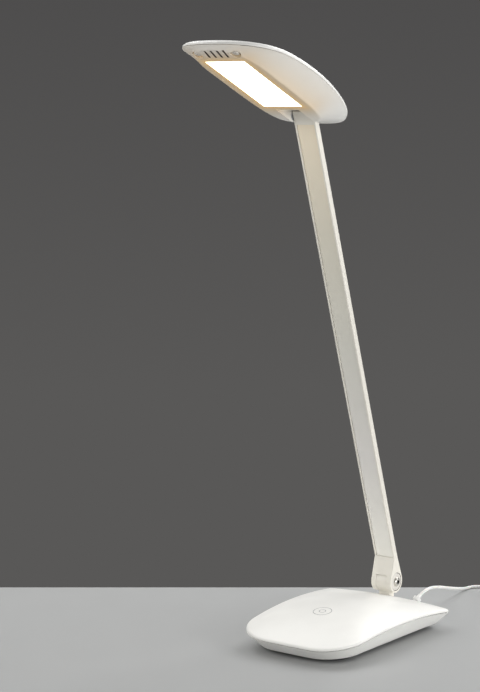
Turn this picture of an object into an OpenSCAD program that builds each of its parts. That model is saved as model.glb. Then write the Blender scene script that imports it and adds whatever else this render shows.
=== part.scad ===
// Folding LED desk lamp: a domed base, a flat channel arm and a leaf-shaped head.
// The frame has +Z up, the lamp faces -Y, and the origin is the middle of the
// anti-slip pad, on the surface that the lamp stands on. Sizes are in millimetres.

/* [Base] */
// Length of the base, front to back
base_len = 187.8; // [170:0.2:210]
// Width of the base across its front corners
base_w_front = 115.2; // [108:0.1:126]
// Width of the base at the middle
base_w_mid = 123.9; // [116:0.1:134]
// Width of the base across its back corners
base_w_back = 131.8; // [126:0.1:146]
// Radius of the front corners
front_corner_r = 36.5; // [28:0.5:40]
// Radius of the back corners
back_corner_r = 6; // [5:0.5:12]
// Slope of the front edge where it meets its corners, in degrees
front_sweep = 1; // [0.5:0.5:8]
// Slope of the back edge where it meets its corners, in degrees
back_sweep = 24.5; // [18:0.5:28]
// Height of the seam above the table at the front
rim_front = 13.2; // [11:0.2:14]
// Height of the seam at the middle
rim_mid = 21.5; // [20:0.5:25]
// Height of the seam at the back
rim_back = 13; // [13:0.5:16]
// How far the peak of the seam sits behind the middle
rim_skew = 0.2; // [0:0.1:3]
// Rise of the cover above the seam
crown = 12.3; // [9:0.1:14]
// How far the bottom is drawn in at each side
draw_side = 12.9; // [11:0.1:17]
// How far the bottom is drawn in at the front
draw_front = 11.6; // [8:0.1:14]
// How far the bottom is drawn in at the back
draw_back = 6.9; // [4:0.1:8]
// Wall of the base shells
base_wall = 2.2; // [1.8:0.1:2.6]
// Floor of the tray
tray_floor = 2; // [1.6:0.1:2.6]
// Gap that shows as the line between two shells
seam_gap = 0.3; // [0.2:0.05:0.5]
// Thickness of the anti-slip pad
pad_t = 1.5; // [1:0.1:2.5]
// Width of the anti-slip pad
pad_w = 80; // [60:1:84]
// Length of the anti-slip pad
pad_len = 142; // [110:1:146]
// Diameter of the touch mark
touch_d = 17; // [14:1:20]
// Distance of the touch mark from the front edge
touch_inset = 58.3; // [48:0.1:64]

/* [Ballast and boards] */
// Width of the steel ballast plate
ballast_w = 76; // [66:1:78]
// Thickness of the ballast plate
ballast_t = 6; // [4:0.5:7]
// Width of the main board
board_w = 56; // [48:1:60]
// Length of the main board
board_len = 38; // [34:1:42]
// Thickness of each circuit board
board_t = 1.6; // [1.2:0.1:2]
// Height of the main board above the ballast plate
board_lift = 5; // [4:0.5:6]

/* [Base hinge] */
// Height of the hinge axis above the table
hinge_z = 36.8; // [35:0.2:40]
// Distance of the hinge axis from the back edge of the base
hinge_inset = 20.5; // [18:0.1:24]
// Radius of the hinge cheeks
hinge_r = 10.4; // [9.8:0.1:11]
// Width of the neck between the cheeks
neck_w = 11; // [9:0.5:12]
// Depth of the neck, front to back
neck_d = 8.6; // [7:0.2:9.4]
// Diameter of the hinge bolt
bolt_d = 5; // [4:0.5:6]
// Diameter of the round plates in the cheeks
cap_d = 16.4; // [14:0.2:17]

/* [Arm] */
// Distance between the two hinge axes, along the arm
arm_len = 454.6; // [400:0.2:480]
// Width of the arm
arm_w = 21.2; // [20:0.2:24]
// Thickness of the arm
arm_t = 5.6; // [5.2:0.1:7]
// How far the arm's middle plane lies behind the hinge axis
arm_back = 6.1; // [5.5:0.1:6.6]
// Width of each rail beside the front strip
rail_w = 1.5; // [1.2:0.1:1.8]
// Thickness of the arm's back web
web_t = 1.2; // [1:0.1:1.4]
// Thickness of the front strip
strip_t = 1; // [0.8:0.1:1.2]
// How far the strip lies behind the rails
strip_in = 0.8; // [0.5:0.1:1]
// Lean of the arm towards the front, in degrees
arm_lean = 18.7; // [10:0.1:30]

/* [Head] */
// Tilt of the head's face above level, in degrees
head_tilt = 23.3; // [10:0.1:35]
// Half width of the head
head_half_w = 45.6; // [44:0.1:50]
// Length of the head ahead of its hinge axis
head_fwd = 149.4; // [146:0.1:158]
// Length of the head behind its hinge axis
head_aft = 19.7; // [19:0.1:24]
// Distance from the hinge axis to the widest point
head_wide = 99.7; // [92:0.1:106]
// Roundness of the front end (2 is an ellipse)
head_round_front = 2.35; // [2.1:0.05:2.8]
// Roundness of the back end
head_round_back = 4.4; // [3.4:0.1:4.8]
// Depth of the hinge axis above the lit face
axis_depth = 6.3; // [6:0.1:7]
// Height of the seam above the lit face at the tip
seam_tip = 2.6; // [2.5:0.1:4]
// Height of the seam above the lit face at the widest point
seam_wide = 13.8; // [12:0.1:15]
// Height of the seam above the lit face at the back end
seam_back = 7.5; // [7:0.1:9]
// Height of the upper shell's side above the seam
head_skirt = 3.1; // [2.4:0.1:3.6]
// Rise of the upper shell above its side
head_crown = 3; // [2.5:0.5:5]
// How far the flat face is drawn in at each side
face_in_side = 17.3; // [15:0.1:20]
// How far the flat face is drawn in at the tip
face_in_tip = 4.5; // [4:0.5:8]
// How far the flat face is drawn in at the back
face_in_back = 20; // [18:0.5:23]
// Wall of the head shells
head_wall = 1.8; // [1.6:0.1:2]

/* [Light panel] */
// Width of the lit window
light_w = 38.5; // [34:0.5:39]
// Distance from the tip of the head to the window
light_tip = 26.8; // [24:0.1:32]
// Distance from the hinge axis to the window
light_gap = 33.3; // [32:0.1:36]
// Thickness of the diffuser
diffuser_t = 1.2; // [1:0.1:1.5]
// Thickness of the light guide
guide_t = 3; // [2:0.1:3.4]
// LEDs along each side
led_count = 14; // [8:1:16]
// Cooling slots in front of the window
vent_count = 4; // [3:1:5]
// Length of each cooling slot
vent_len = 13; // [9:0.5:14]
// Width of each cooling slot
vent_w = 2; // [1.6:0.1:2.4]

/* [Head hinge] */
// Radius of the barrels moulded in the head
barrel_r = 4.4; // [4:0.1:5]
// Outer end of each barrel, from the middle
barrel_end = 17.4; // [16:0.1:18]
// Diameter of the head pin
pin_d = 4; // [3:0.5:4.5]
// Radius of the arm's knuckle
knuckle_r = 5; // [4.6:0.1:5.4]

/* [Power lead] */
// Diameter of the lead
cord_d = 3; // [2.6:0.1:3.4]
// Distance of the socket from the middle of the base
socket_x = 14.5; // [12:0.5:18]
// Turns of the coil across its width
coil_cols = 3; // [2:1:4]
// Layers of the coil
coil_rows = 4; // [3:1:5]

/* [Hidden] */
$fn = 40;

// Named clearances
fit = 0.05;
slip = 0.15;
room = 0.5;

// Colours
white = [0.96, 0.955, 0.93];
cream = [0.91, 0.88, 0.82];
steel = [0.72, 0.73, 0.74];
zinc = [0.6, 0.61, 0.62];
brass = [0.8, 0.68, 0.4];
green = [0.12, 0.42, 0.25];
black = [0.08, 0.08, 0.09];
lit = [1, 0.98, 0.9];
clear = [0.9, 0.92, 0.93];

// Heights in the base
tray_z = pad_t;
floor_z = tray_z + tray_floor;
ballast_top = floor_z + ballast_t;
board_z = ballast_top + board_lift;
hinge_y = base_len / 2 - hinge_inset;
touch_y = -base_len / 2 + touch_inset;
ballast_front = -base_len / 2 + 29;
ballast_rear = base_len / 2 - 13;

// ---------- shape of the base ----------

// Half width of the base at y
function base_half(y) = let (s = 2 * y / base_len)
    (base_w_mid + (base_w_back - base_w_front) / 2 * s
    + ((base_w_back + base_w_front) / 2 - base_w_mid) * s * s) / 2;

// Height of the seam between cover and tray at y
function rim_z(y) = let (s = 2 * y / base_len)
    rim_mid + ((rim_back - rim_front) / 2 - rim_skew) * s
    + ((rim_back + rim_front) / 2 - rim_mid) * s * s + rim_skew * s * s * s;

// Distance from the middle to the centre line of a corner of radius r and sweep q
function corner_y(r, q, w) = base_len / 2 - tan(q) * (w / 2 - r + r * sin(q)) / 2 - r * cos(q);

// One swept end of the outline, from the middle of its edge round to the side
function base_end(r, q, w, dir) = let (
        cy = corner_y(r, q, w),
        cx = base_half(dir * cy) - r,
        xe = cx + r * sin(q),
        ye = cy + r * cos(q),
        n = 5)
    concat(
        [for (i = [0 : n - 1]) let (x = xe * i / n)
            [x, dir * (ye + tan(q) / (2 * xe) * (xe * xe - x * x))]],
        [for (i = [0 : n + 1]) let (a = (90 - q) * (1 - i / (n + 1)))
            [cx + r * cos(a), dir * (cy + r * sin(a))]]);

front_y = corner_y(front_corner_r, front_sweep, base_w_front);
back_y = corner_y(back_corner_r, back_sweep, base_w_back);
side_steps = 12;
front_end = base_end(front_corner_r, front_sweep, base_w_front, -1);
back_end = base_end(back_corner_r, back_sweep, base_w_back, 1);
base_side = [for (i = [1 : side_steps - 1])
    let (y = -front_y + (front_y + back_y) * i / side_steps) [base_half(y), y]];
function backwards(v) = [for (i = [len(v) - 1 : -1 : 0]) v[i]];
base_right = concat(front_end, base_side, backwards(back_end));
base_left = [for (p = backwards(base_right)) if (p.x > 0.01) [-p.x, p.y]];
base_plan = concat(base_right, base_left);

// A ring of the cover at scale k, rounder towards the middle, moved in by inset and up by
// lift from the seam
function cover_ring(k, inset, lift) = [for (p = base_plan) let (
        oval = norm([p.x / (base_w_mid / 2), p.y / (base_len / 2)]),
        s = k * (k + (1 - k) / oval),
        x = s * p.x * (1 - inset / (base_w_mid / 2)),
        y = s * p.y * (1 - inset / (base_len / 2)))
    [x, y, rim_z(y) + seam_gap / 2 + lift]];

// Rise of the cover's dome at scale k
edge_rise = 2.2;
function dome(k) = edge_rise + (crown - edge_rise) * (1 - k * k);
dome_steps = [0.98, 0.95, 0.9, 0.82, 0.72, 0.6, 0.46, 0.3, 0.14];
inner_steps = [for (k = dome_steps) if (k < 0.91) k];

// A ring of the tray: level 0 is the bottom and level 1 the seam
function tray_ring(level, inset) = [for (p = base_plan) let (
        bx = p.x * (1 - draw_side / (base_w_mid / 2)),
        by = p.y * (1 - (p.y < 0 ? draw_front : draw_back) / (base_len / 2)))
    [(bx + (p.x - bx) * level) * (1 - inset / (base_w_mid / 2)),
     (by + (p.y - by) * level) * (1 - inset / (base_len / 2)),
     tray_z + (rim_z(p.y) - seam_gap / 2 - tray_z) * level]];
function at_height(ring, z) = [for (p = ring) [p.x, p.y, z]];
function raised(ring, dz) = [for (p = ring) p + [0, 0, dz]];

// A closed solid from rings that run from the low tip to the high tip
module ring_solid(rings, low_tip, high_tip) {
    n = len(rings[0]);
    m = len(rings);
    points = concat([low_tip], [for (r = rings) for (p = r) p], [high_tip]);
    faces = concat(
        [for (j = [0 : n - 1]) [0, 1 + j, 1 + (j + 1) % n]],
        [for (i = [0 : m - 2]) for (j = [0 : n - 1])
            let (a = 1 + i * n, b = 1 + (i + 1) * n, k = (j + 1) % n) [a + j, b + j, b + k]],
        [for (i = [0 : m - 2]) for (j = [0 : n - 1])
            let (a = 1 + i * n, b = 1 + (i + 1) * n, k = (j + 1) % n) [a + j, b + k, a + k]],
        [for (j = [0 : n - 1]) let (a = 1 + (m - 1) * n) [1 + m * n, a + (j + 1) % n, a + j]]);
    polyhedron(points, faces, convexity = 6);
}

// A plate with round corners, drawn from its middle
module round_plate(w, l, r, t) {
    linear_extrude(t) union() {
        square([w - 2 * r, l], center = true);
        square([w, l - 2 * r], center = true);
        for (x = [-1, 1], y = [-1, 1]) translate([x * (w / 2 - r), y * (l / 2 - r)]) circle(r);
    }
}

module along_x(x0, x1, r) {
    translate([x0, 0, 0]) rotate([0, 90, 0]) cylinder(r = r, h = x1 - x0);
}

// ---------- base shells ----------

lip_t = base_wall / 2 - 0.05;
lip_h = 1.6;
pillar_r = 3.5;
pillar_spots = [for (y = [-base_len / 2 + 39, base_len / 2 - 45], x = [-29, 29]) [x, y]];
pillar_foot = floor_z + 2.5;
screw_r = 1.45;
screw_head_r = 2.8;
screw_head_t = 1.9;
screw_depth = 10;
touch_board_w = 26;
touch_board_l = 20;
touch_post_x = touch_board_w / 2 - 3;
spring_h = 3;
function cover_top(y) = rim_z(y) + seam_gap / 2 + dome(abs(y) / (base_len / 2));
dome_top = cover_top(touch_y);
touch_slope = atan((cover_top(touch_y + 1) - cover_top(touch_y - 1)) / 2);
touch_board_z = dome_top - base_wall - spring_h - board_t - 1.1;
neck_slot = [neck_w + 2 * room, neck_d + 2 * room];

// What the cover's pillars and posts may fill, down to a level below the seam
module cover_fill() {
    inset = base_wall / 2;
    rings = concat(
        [at_height(cover_ring(0.9, inset, 0), floor_z + 1)],
        [cover_ring(0.93, inset, -1)],
        [for (k = inner_steps) cover_ring(k, inset, dome(k) - inset)]);
    ring_solid(rings, [0, 0, floor_z + 1], [0, 0, rim_z(0) + crown - inset]);
}

module base_cover() {
    inner = concat(
        [for (k = backwards(inner_steps)) cover_ring(k, base_wall, dome(k) - base_wall)],
        [cover_ring(1, base_wall, lip_h + slip), cover_ring(1, lip_t, lip_h + slip)]);
    outer = concat(
        [cover_ring(1, lip_t, 0), cover_ring(1, 0, 0), cover_ring(1, 0, edge_rise * 0.65),
         cover_ring(0.995, 0, edge_rise)],
        [for (k = dome_steps) cover_ring(k, 0, dome(k))]);
    color(white) difference() {
        union() {
            ring_solid(concat(inner, outer), [0, 0, rim_z(0) + crown - base_wall],
                [0, 0, rim_z(0) + crown + seam_gap / 2]);
            intersection() {
                cover_fill();
                union() {
                    for (p = pillar_spots) translate([p.x, p.y, pillar_foot])
                        cylinder(r = pillar_r, h = crown + rim_mid);
                    for (x = [-1, 1]) translate([x * touch_post_x, touch_y, touch_board_z + board_t])
                        cylinder(r = 2.2, h = crown);
                }
            }
        }
        for (p = pillar_spots) translate([p.x, p.y, pillar_foot - 1])
            cylinder(r = screw_r + fit, h = screw_depth + 1.5);
        for (x = [-1, 1]) translate([x * touch_post_x, touch_y, touch_board_z])
            cylinder(r = 0.9 + fit, h = board_t + 3.5);
        translate([-neck_slot.x / 2, hinge_y - neck_slot.y / 2, floor_z + ballast_t])
            cube([neck_slot.x, neck_slot.y, crown + rim_mid]);
        socket_notch();
        at_touch() touch_tubes(fit, crown);
    }
}

module base_tray() {
    outer = [at_height(tray_ring(0, 3), tray_z), at_height(tray_ring(0, 1), tray_z + 0.5),
        tray_ring(0.12, 0), tray_ring(0.4, 0), tray_ring(0.7, 0), tray_ring(1, 0)];
    inner = [tray_ring(1, lip_t + slip), raised(tray_ring(1, lip_t + slip), lip_h),
        raised(tray_ring(1, base_wall), lip_h), tray_ring(0.85, base_wall),
        tray_ring(0.5, base_wall), at_height(tray_ring(0.14, base_wall + 0.8), floor_z)];
    boss_r = 4.5;
    color(white) difference() {
        union() {
            ring_solid(concat(outer, inner), [0, 0, tray_z], [0, 0, floor_z]);
            for (p = pillar_spots) translate([p.x, p.y, tray_z])
                cylinder(r = boss_r, h = pillar_foot - tray_z);
        }
        for (p = pillar_spots) translate([p.x, p.y, tray_z - 1]) {
            cylinder(r = screw_r + 0.1, h = pillar_foot);
            cylinder(r = screw_head_r + room, h = 1 + screw_head_t + 0.4);
        }
        for (p = ballast_spots) translate([p.x, p.y, tray_z - 1])
            cylinder(r = screw_r + 0.1, h = pillar_foot);
        for (p = ballast_spots) translate([p.x, p.y, tray_z - 1])
            cylinder(r = screw_head_r + room, h = 1 + 0.9);
        socket_notch();
    }
}

module base_pad() {
    corner = pad_w / 5;
    color(black) round_plate(pad_w, pad_len, corner, pad_t);
}

// Screws from below: four hold the cover, two hold the ballast plate
ballast_spots = [for (y = [-base_len / 2 + 40.9, base_len / 2 - 63.9]) [0, y]];
module cover_screws() {
    color(zinc) {
        for (p = pillar_spots) translate([p.x, p.y, tray_z + 0.4]) {
            cylinder(r = screw_head_r, h = screw_head_t);
            cylinder(r = screw_r, h = pillar_foot - tray_z + screw_depth - 1.5);
        }
        for (p = ballast_spots) translate([p.x, p.y, tray_z + 0.1]) {
            cylinder(r = screw_head_r, h = 0.8);
            cylinder(r = screw_r, h = tray_floor + ballast_t - 1.5);
        }
    }
}

module ballast_plate() {
    length = ballast_rear - ballast_front;
    color(zinc) difference() {
        translate([0, (ballast_rear + ballast_front) / 2, floor_z])
            round_plate(ballast_w, length, 13, ballast_t);
        for (p = pillar_spots) translate([p.x, p.y, floor_z - 1])
            cylinder(r = 5, h = ballast_t + 2);
        for (p = ballast_spots) translate([p.x, p.y, floor_z - 1])
            cylinder(r = screw_r + fit, h = ballast_t);
        for (p = neck_spots) translate([p.x, p.y, ballast_top - 5])
            cylinder(r = neck_screw_r + fit, h = 6);
        for (p = standoff_spots) translate([p.x, p.y, ballast_top - 3])
            cylinder(r = 1.5 + fit, h = 4);
    }
}

// ---------- touch switch ----------

touch_groove = 0.6;
touch_line = 0.5;
touch_inner_r = touch_d * 0.19;
module touch_tubes(grow, h) {
    for (r = [touch_d / 2, touch_inner_r]) difference() {
        cylinder(r = r + grow, h = h, $fn = 64);
        translate([0, 0, -1]) cylinder(r = r - touch_line - grow, h = h + 2, $fn = 64);
    }
}

module at_touch() {
    translate([0, touch_y, dome_top]) rotate([touch_slope, 0, 0]) translate([0, 0, -touch_groove])
        children();
}

module touch_rings() {
    color([0.6, 0.6, 0.6]) at_touch() touch_tubes(0, touch_groove);
}

module touch_spring() {
    color(brass) translate([0, touch_y, touch_board_z + board_t]) {
        cylinder(r = 5, h = 0.4);
        cylinder(r = 3.4, h = spring_h - 0.4);
        translate([0, 0, spring_h - 0.5]) cylinder(r = 4.5, h = 0.5);
    }
}

module touch_board() {
    color(green) difference() {
        translate([-touch_board_w / 2, touch_y - touch_board_l / 2, touch_board_z])
            cube([touch_board_w, touch_board_l, board_t]);
        for (x = [-1, 1]) translate([x * touch_post_x, touch_y, touch_board_z - 1])
            cylinder(r = 1.1, h = board_t + 2);
    }
}

module touch_screws() {
    color(steel) for (x = [-1, 1]) translate([x * touch_post_x, touch_y, touch_board_z - 1.2]) {
        cylinder(r = 1.8, h = 1.2);
        cylinder(r = 0.9, h = 1.2 + board_t + 3);
    }
}

// ---------- main board ----------

board_y = 4;
standoff_spots = [for (x = [-1, 1], y = [-1, 1])
    [x * (board_w / 2 - 4), board_y + y * (board_len / 2 - 4)]];

module board_standoffs() {
    color(brass) for (p = standoff_spots) difference() {
        translate([p.x, p.y, ballast_top]) union() {
            cylinder(r = 2.8, h = board_lift, $fn = 6);
            translate([0, 0, -2.5]) cylinder(r = 1.5, h = 3);
        }
        translate([p.x, p.y, board_z - 3]) cylinder(r = 1.2 + fit, h = 4);
    }
}

module main_board() {
    color(green) difference() {
        translate([-board_w / 2, board_y - board_len / 2, board_z]) cube([board_w, board_len, board_t]);
        for (p = standoff_spots) translate([p.x, p.y, board_z - 1]) cylinder(r = 1.4, h = board_t + 2);
    }
}

module board_screws() {
    color(steel) for (p = standoff_spots) translate([p.x, p.y, 0]) {
        translate([0, 0, board_z + board_t]) cylinder(r = 2.3, h = 1.4);
        translate([0, 0, board_z - 2.5]) cylinder(r = 1.2, h = board_t + 2.6);
    }
}

// Inductor, capacitor, driver chip and two wire connectors
module board_parts() {
    top = board_z + board_t;
    color(black) {
        translate([-13, board_y + 8, top]) cylinder(r = 5, h = 5);
        translate([-4, board_y + 6, top]) cube([6, 5, 1.6]);
        translate([11, board_y + 9, top]) cylinder(r = 4, h = 7.5);
    }
    color(white) {
        translate([-16, board_y - board_len / 2 + 1, top]) cube([10, 5, 4.5]);
        translate([4, board_y - board_len / 2 + 1, top]) cube([12, 5, 4.5]);
    }
}

// ---------- power socket ----------

socket_w = 11;
socket_h = 6.6;
socket_face = base_len / 2 - 3.4;
socket_len = 8.4;
socket_z = 10.4;
plug_pin_r = 2.6;
module socket_notch() {
    translate([socket_x - socket_w / 2 - slip, socket_face - socket_len, socket_z - socket_h / 2 - slip])
        cube([socket_w + 2 * slip, 20, socket_h + 2 * slip]);
}

module power_socket() {
    color(black) difference() {
        translate([socket_x - socket_w / 2, socket_face - socket_len + slip, socket_z - socket_h / 2])
            cube([socket_w, socket_len - slip, socket_h]);
        translate([socket_x, socket_face + 1, socket_z]) rotate([90, 0, 0])
            cylinder(r = plug_pin_r + fit, h = 8);
    }
}

// ---------- neck and base hinge ----------

foot_t = 4;
foot_w = 38;
foot_front = 12;
foot_rear = 6;
neck_screw_r = 1.9;
neck_spots = [for (x = [-1, 1], y = [-7.5, 3]) [x * 14, hinge_y + y]];
washer_t = 0.6;
slot_w = neck_w + 2 * washer_t + 2 * fit;
eye_r = hinge_r - 0.2;
cap_t = 0.8;
cap_in = 1;
bolt_r = bolt_d / 2;
cheek_out = arm_w / 2;
head_seat = cheek_out - cap_in + cap_t;
bolt_head_t = 2.2;

module at_hinge() {
    translate([0, hinge_y, hinge_z]) children();
}

module in_arm() {
    at_hinge() rotate([arm_lean, 0, 0]) children();
}

module neck() {
    color(cream) difference() {
        union() {
            translate([-foot_w / 2, hinge_y - foot_front, ballast_top])
                cube([foot_w, foot_front + foot_rear, foot_t]);
            translate([-neck_w / 2, hinge_y - neck_d / 2, ballast_top])
                cube([neck_w, neck_d, hinge_z - ballast_top]);
            at_hinge() along_x(-neck_w / 2, neck_w / 2, eye_r);
        }
        at_hinge() along_x(-neck_w, neck_w, bolt_r + fit);
        for (p = neck_spots) translate([p.x, p.y, ballast_top - 1])
            cylinder(r = neck_screw_r + 0.2, h = foot_t + 2);
    }
}

module neck_screws() {
    color(zinc) for (p = neck_spots) translate([p.x, p.y, ballast_top - 4]) {
        cylinder(r = neck_screw_r, h = 4.2 + foot_t);
        translate([0, 0, 4 + foot_t]) cylinder(r = 3.3, h = 2.2);
    }
}

module hinge_washers() {
    color(steel) for (x = [-neck_w / 2 - washer_t, neck_w / 2]) at_hinge() difference() {
        along_x(x, x + washer_t, 8);
        along_x(x - 1, x + washer_t + 1, bolt_r + fit);
    }
}

// Round plates let into the outer faces of the cheeks
module hinge_caps() {
    color(steel) in_arm() for (x = [-cheek_out + cap_in - cap_t, cheek_out - cap_in]) difference() {
        along_x(x, x + cap_t, cap_d / 2);
        along_x(x - 1, x + cap_t + 1, bolt_r + fit);
    }
}

module hinge_bolt() {
    color(steel) in_arm() difference() {
        union() {
            along_x(-head_seat - 2, head_seat + 0.1, bolt_r);
            along_x(head_seat, head_seat + bolt_head_t, 4.4);
        }
        translate([head_seat + bolt_head_t - 1.6, 0, 0]) rotate([0, 90, 0])
            cylinder(r = 1.6, h = 3, $fn = 6);
    }
}

module hinge_nut() {
    color(steel) in_arm() difference() {
        translate([-head_seat - 2.2, 0, 0]) rotate([0, 90, 0]) cylinder(r = 4.4, h = 2.2, $fn = 6);
        along_x(-head_seat - 3, -head_seat + 1, bolt_r + fit);
    }
}

// ---------- arm ----------

arm_front = arm_back - arm_t / 2;
arm_rear = arm_back + arm_t / 2;
joint_z = hinge_r * 2.25;
strip_top = arm_len - 7.5;
rail_top = strip_top + 5;
inner_w = arm_w - 2 * rail_w;
cavity_y = arm_front + strip_in + strip_t;
web_y = arm_rear - web_t;
tongue_len = 20;
tongue_w = inner_w - 2 * slip;
wire_r = 0.6;
wire_xs = [-4.5, -1.5, 1.5, 4.5];
wire_slot_w = 12;
wire_slot_d = 1.4;
arm_screw_zs = [joint_z + 8, strip_top - 8];

// Where the line from p touches the cheek, just inside its edge, on the side given by dir
function tangent(p, dir) = let (a = atan2(p.y, p.x) + dir * acos(hinge_r / norm(p)))
    (hinge_r - fit) * [cos(a), sin(a)];

module block(x0, x1, y0, y1, z0, z1) {
    translate([x0, y0, z0]) cube([x1 - x0, y1 - y0, z1 - z0]);
}

// The lower end of the arm: two cheeks round the neck, and a tongue for the channel
module clevis() {
    front = [arm_front, joint_z];
    rear = [arm_rear, joint_z];
    profile = [tangent(front, 1), front, rear, tangent(rear, -1), [0, -1]];
    slot_r = hinge_r + 0.3;
    half = slot_w / 2;
    color(white) in_arm() difference() {
        union() {
            along_x(-arm_w / 2, arm_w / 2, hinge_r);
            translate([-arm_w / 2, 0, 0]) rotate([90, 0, 90]) linear_extrude(arm_w) polygon(profile);
            block(-tongue_w / 2, tongue_w / 2, cavity_y + fit, web_y - fit, joint_z - 1,
                joint_z + tongue_len);
        }
        along_x(-half, half, slot_r);
        block(-half, half, -slot_r - 2, -1, -slot_r - 2, hinge_r - 1.2);
        block(-half, half, 0, slot_r + 2, -slot_r - 2, 6);
        along_x(-arm_w, arm_w, bolt_r + fit);
        for (x = [-cheek_out - 1, cheek_out - cap_in]) along_x(x, x + cap_in + 1, cap_d / 2 + fit);
        block(-wire_slot_w / 2, wire_slot_w / 2, web_y - wire_slot_d, web_y, 5,
            joint_z + tongue_len + 1);
        for (x = [-1, 1]) translate([x * 7.5, arm_rear + 1, arm_screw_zs[0]]) rotate([90, 0, 0])
            cylinder(r = 0.9 + fit, h = arm_t);
    }
}

module arm_channel() {
    color(white) in_arm() difference() {
        union() {
            block(-arm_w / 2, arm_w / 2, web_y, arm_rear, joint_z, strip_top);
            for (x = [-arm_w / 2, arm_w / 2 - rail_w])
                block(x, x + rail_w, arm_front, arm_rear, joint_z, rail_top);
            for (x = [-1, 1])
                block(x * 7.8 - 0.5, x * 7.8 + 0.5, cavity_y, web_y + 0.1,
                    joint_z + tongue_len + 1, strip_top - tongue_len - 1);
        }
        for (x = [-1, 1], z = arm_screw_zs) translate([x * 7.5, arm_rear + 1, z]) rotate([90, 0, 0]) {
            cylinder(r = 1, h = arm_t);
            cylinder(r = 1.9, h = 1.7);
        }
    }
}

module arm_strip() {
    color([0.9, 0.89, 0.85]) in_arm()
        block(-inner_w / 2 + slip, inner_w / 2 - slip, arm_front + strip_in, cavity_y,
            joint_z + slip, strip_top - slip);
}

module arm_screws() {
    color(steel) in_arm() for (x = [-1, 1], z = arm_screw_zs) translate([x * 7.5, 0, z]) {
        translate([0, arm_rear - 0.1, 0]) rotate([90, 0, 0]) cylinder(r = 1.8, h = 0.6);
        translate([0, arm_rear - 0.6, 0]) rotate([90, 0, 0]) cylinder(r = 0.9, h = arm_t - 3);
    }
}

module arm_wires() {
    colours = [[0.75, 0.1, 0.1], black, [0.9, 0.9, 0.9], [0.85, 0.7, 0.1]];
    in_arm() for (i = [0 : len(wire_xs) - 1]) color(colours[i])
        translate([wire_xs[i], web_y - wire_r - 0.02, joint_z - 9])
            cylinder(r = wire_r, h = arm_len - joint_z, $fn = 16);
}

// The upper end of the arm, which turns between the barrels of the head
knuckle_w = arm_w;
module knuckle() {
    color(white) in_arm() difference() {
        union() {
            translate([0, arm_back, arm_len]) along_x(-knuckle_w / 2, knuckle_w / 2, knuckle_r);
            block(-knuckle_w / 2, knuckle_w / 2, arm_front, arm_rear, strip_top, arm_len);
            block(-tongue_w / 2, tongue_w / 2, cavity_y + fit, web_y - fit, strip_top - tongue_len,
                strip_top + 1);
        }
        translate([0, arm_back, arm_len]) along_x(-arm_w, arm_w, pin_d / 2 + fit);
        for (x = [-arm_w / 2 - 1, inner_w / 2 - fit])
            block(x, x + rail_w + 1 + fit, arm_front - 4, arm_rear + 4, strip_top - 1, rail_top + fit);
        block(-wire_slot_w / 2, wire_slot_w / 2, web_y - wire_slot_d, web_y,
            strip_top - tongue_len - 1, arm_len - knuckle_r + 1);
        for (x = [-1, 1]) translate([x * 7.5, arm_rear + 1, arm_screw_zs[1]]) rotate([90, 0, 0])
            cylinder(r = 0.9 + fit, h = arm_t);
    }
}

// ---------- shape of the head ----------

// In the head's own frame the origin is on the hinge axis, the front is -Y, and
// +Z points out of its back. The lit face lies at z = face.
face = -axis_depth;
head_fore = head_fwd - head_wide;
head_rear = head_wide + head_aft;
seam_curve = ((seam_tip - seam_wide) / head_fore + (seam_back - seam_wide) / head_rear)
    / (head_fore + head_rear);
seam_slope = (seam_back - seam_wide) / head_rear - seam_curve * head_rear;
head_steps = 72;
flank_power = 0.85;

// Height of the head's seam at the distance v behind the widest point
function head_seam(v) = face + seam_wide + seam_slope * v + seam_curve * v * v;

// Outline of the head, measured from the widest point
head_plan = [for (i = [0 : head_steps - 1]) let (
        a = 360 * i / head_steps,
        c = cos(a),
        m = c > 0 ? head_round_front : head_round_back,
        d = pow(pow(abs(c), m) + pow(abs(sin(a)), m), 1 / m))
    [head_half_w * sin(a) / d, -(c > 0 ? head_fore : head_rear) * c / d]];

// A ring of the lower shell: level 0 is the edge of the flat face and level 1 the seam
function flank_ring(level, inset, lift) = [for (p = head_plan) let (
        reach = p.y < 0 ? head_fore : head_rear,
        bx = p.x * (1 - face_in_side / head_half_w),
        by = p.y * (1 - (p.y < 0 ? face_in_tip : face_in_back) / reach),
        rise = head_seam(p.y) - seam_gap / 2 - face)
    [(bx + (p.x - bx) * level) * (1 - inset / head_half_w),
     (by + (p.y - by) * level) * (1 - inset / reach) - head_wide,
     face + rise * pow(level, flank_power) + lift]];

// A ring of the flank's inside: part 0 is at the floor and part 1 at the height of the seam
function inner_flank_ring(part) = [for (p = head_plan) let (
        bx = p.x * (1 - face_in_side / head_half_w),
        by = p.y * (1 - (p.y < 0 ? face_in_tip / head_fore : face_in_back / head_rear)),
        rise = head_seam(p.y) - seam_gap / 2 - face,
        upright = 1.5 + 0.09 * rise,
        level = part * pow(1 - upright / rise, 1 / flank_power),
        wall = head_wall + (upright - head_wall) * part)
    [bx + (p.x - bx) * level, by + (p.y - by) * level - head_wide,
     face + wall + rise * pow(level, flank_power)]];

// A ring of the upper shell at scale k, moved in by inset and up by lift from the seam
function upper_ring(k, inset, lift) = [for (p = head_plan) let (
        x = k * p.x * (1 - inset / head_half_w),
        y = k * p.y * (1 - inset / (p.y < 0 ? head_fore : head_rear)))
    [x, y - head_wide, head_seam(y) + seam_gap / 2 + lift]];
function head_dome(k) = head_skirt + head_crown * (1 - pow(k, 2.2));
head_dome_steps = [0.96, 0.9, 0.82, 0.72, 0.6, 0.46, 0.3, 0.14];
head_top = face + seam_wide + seam_gap / 2 + head_skirt + head_crown;

module in_head() {
    in_arm() translate([0, arm_back, arm_len]) rotate([-arm_lean - head_tilt, 0, 0]) children();
}

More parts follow.
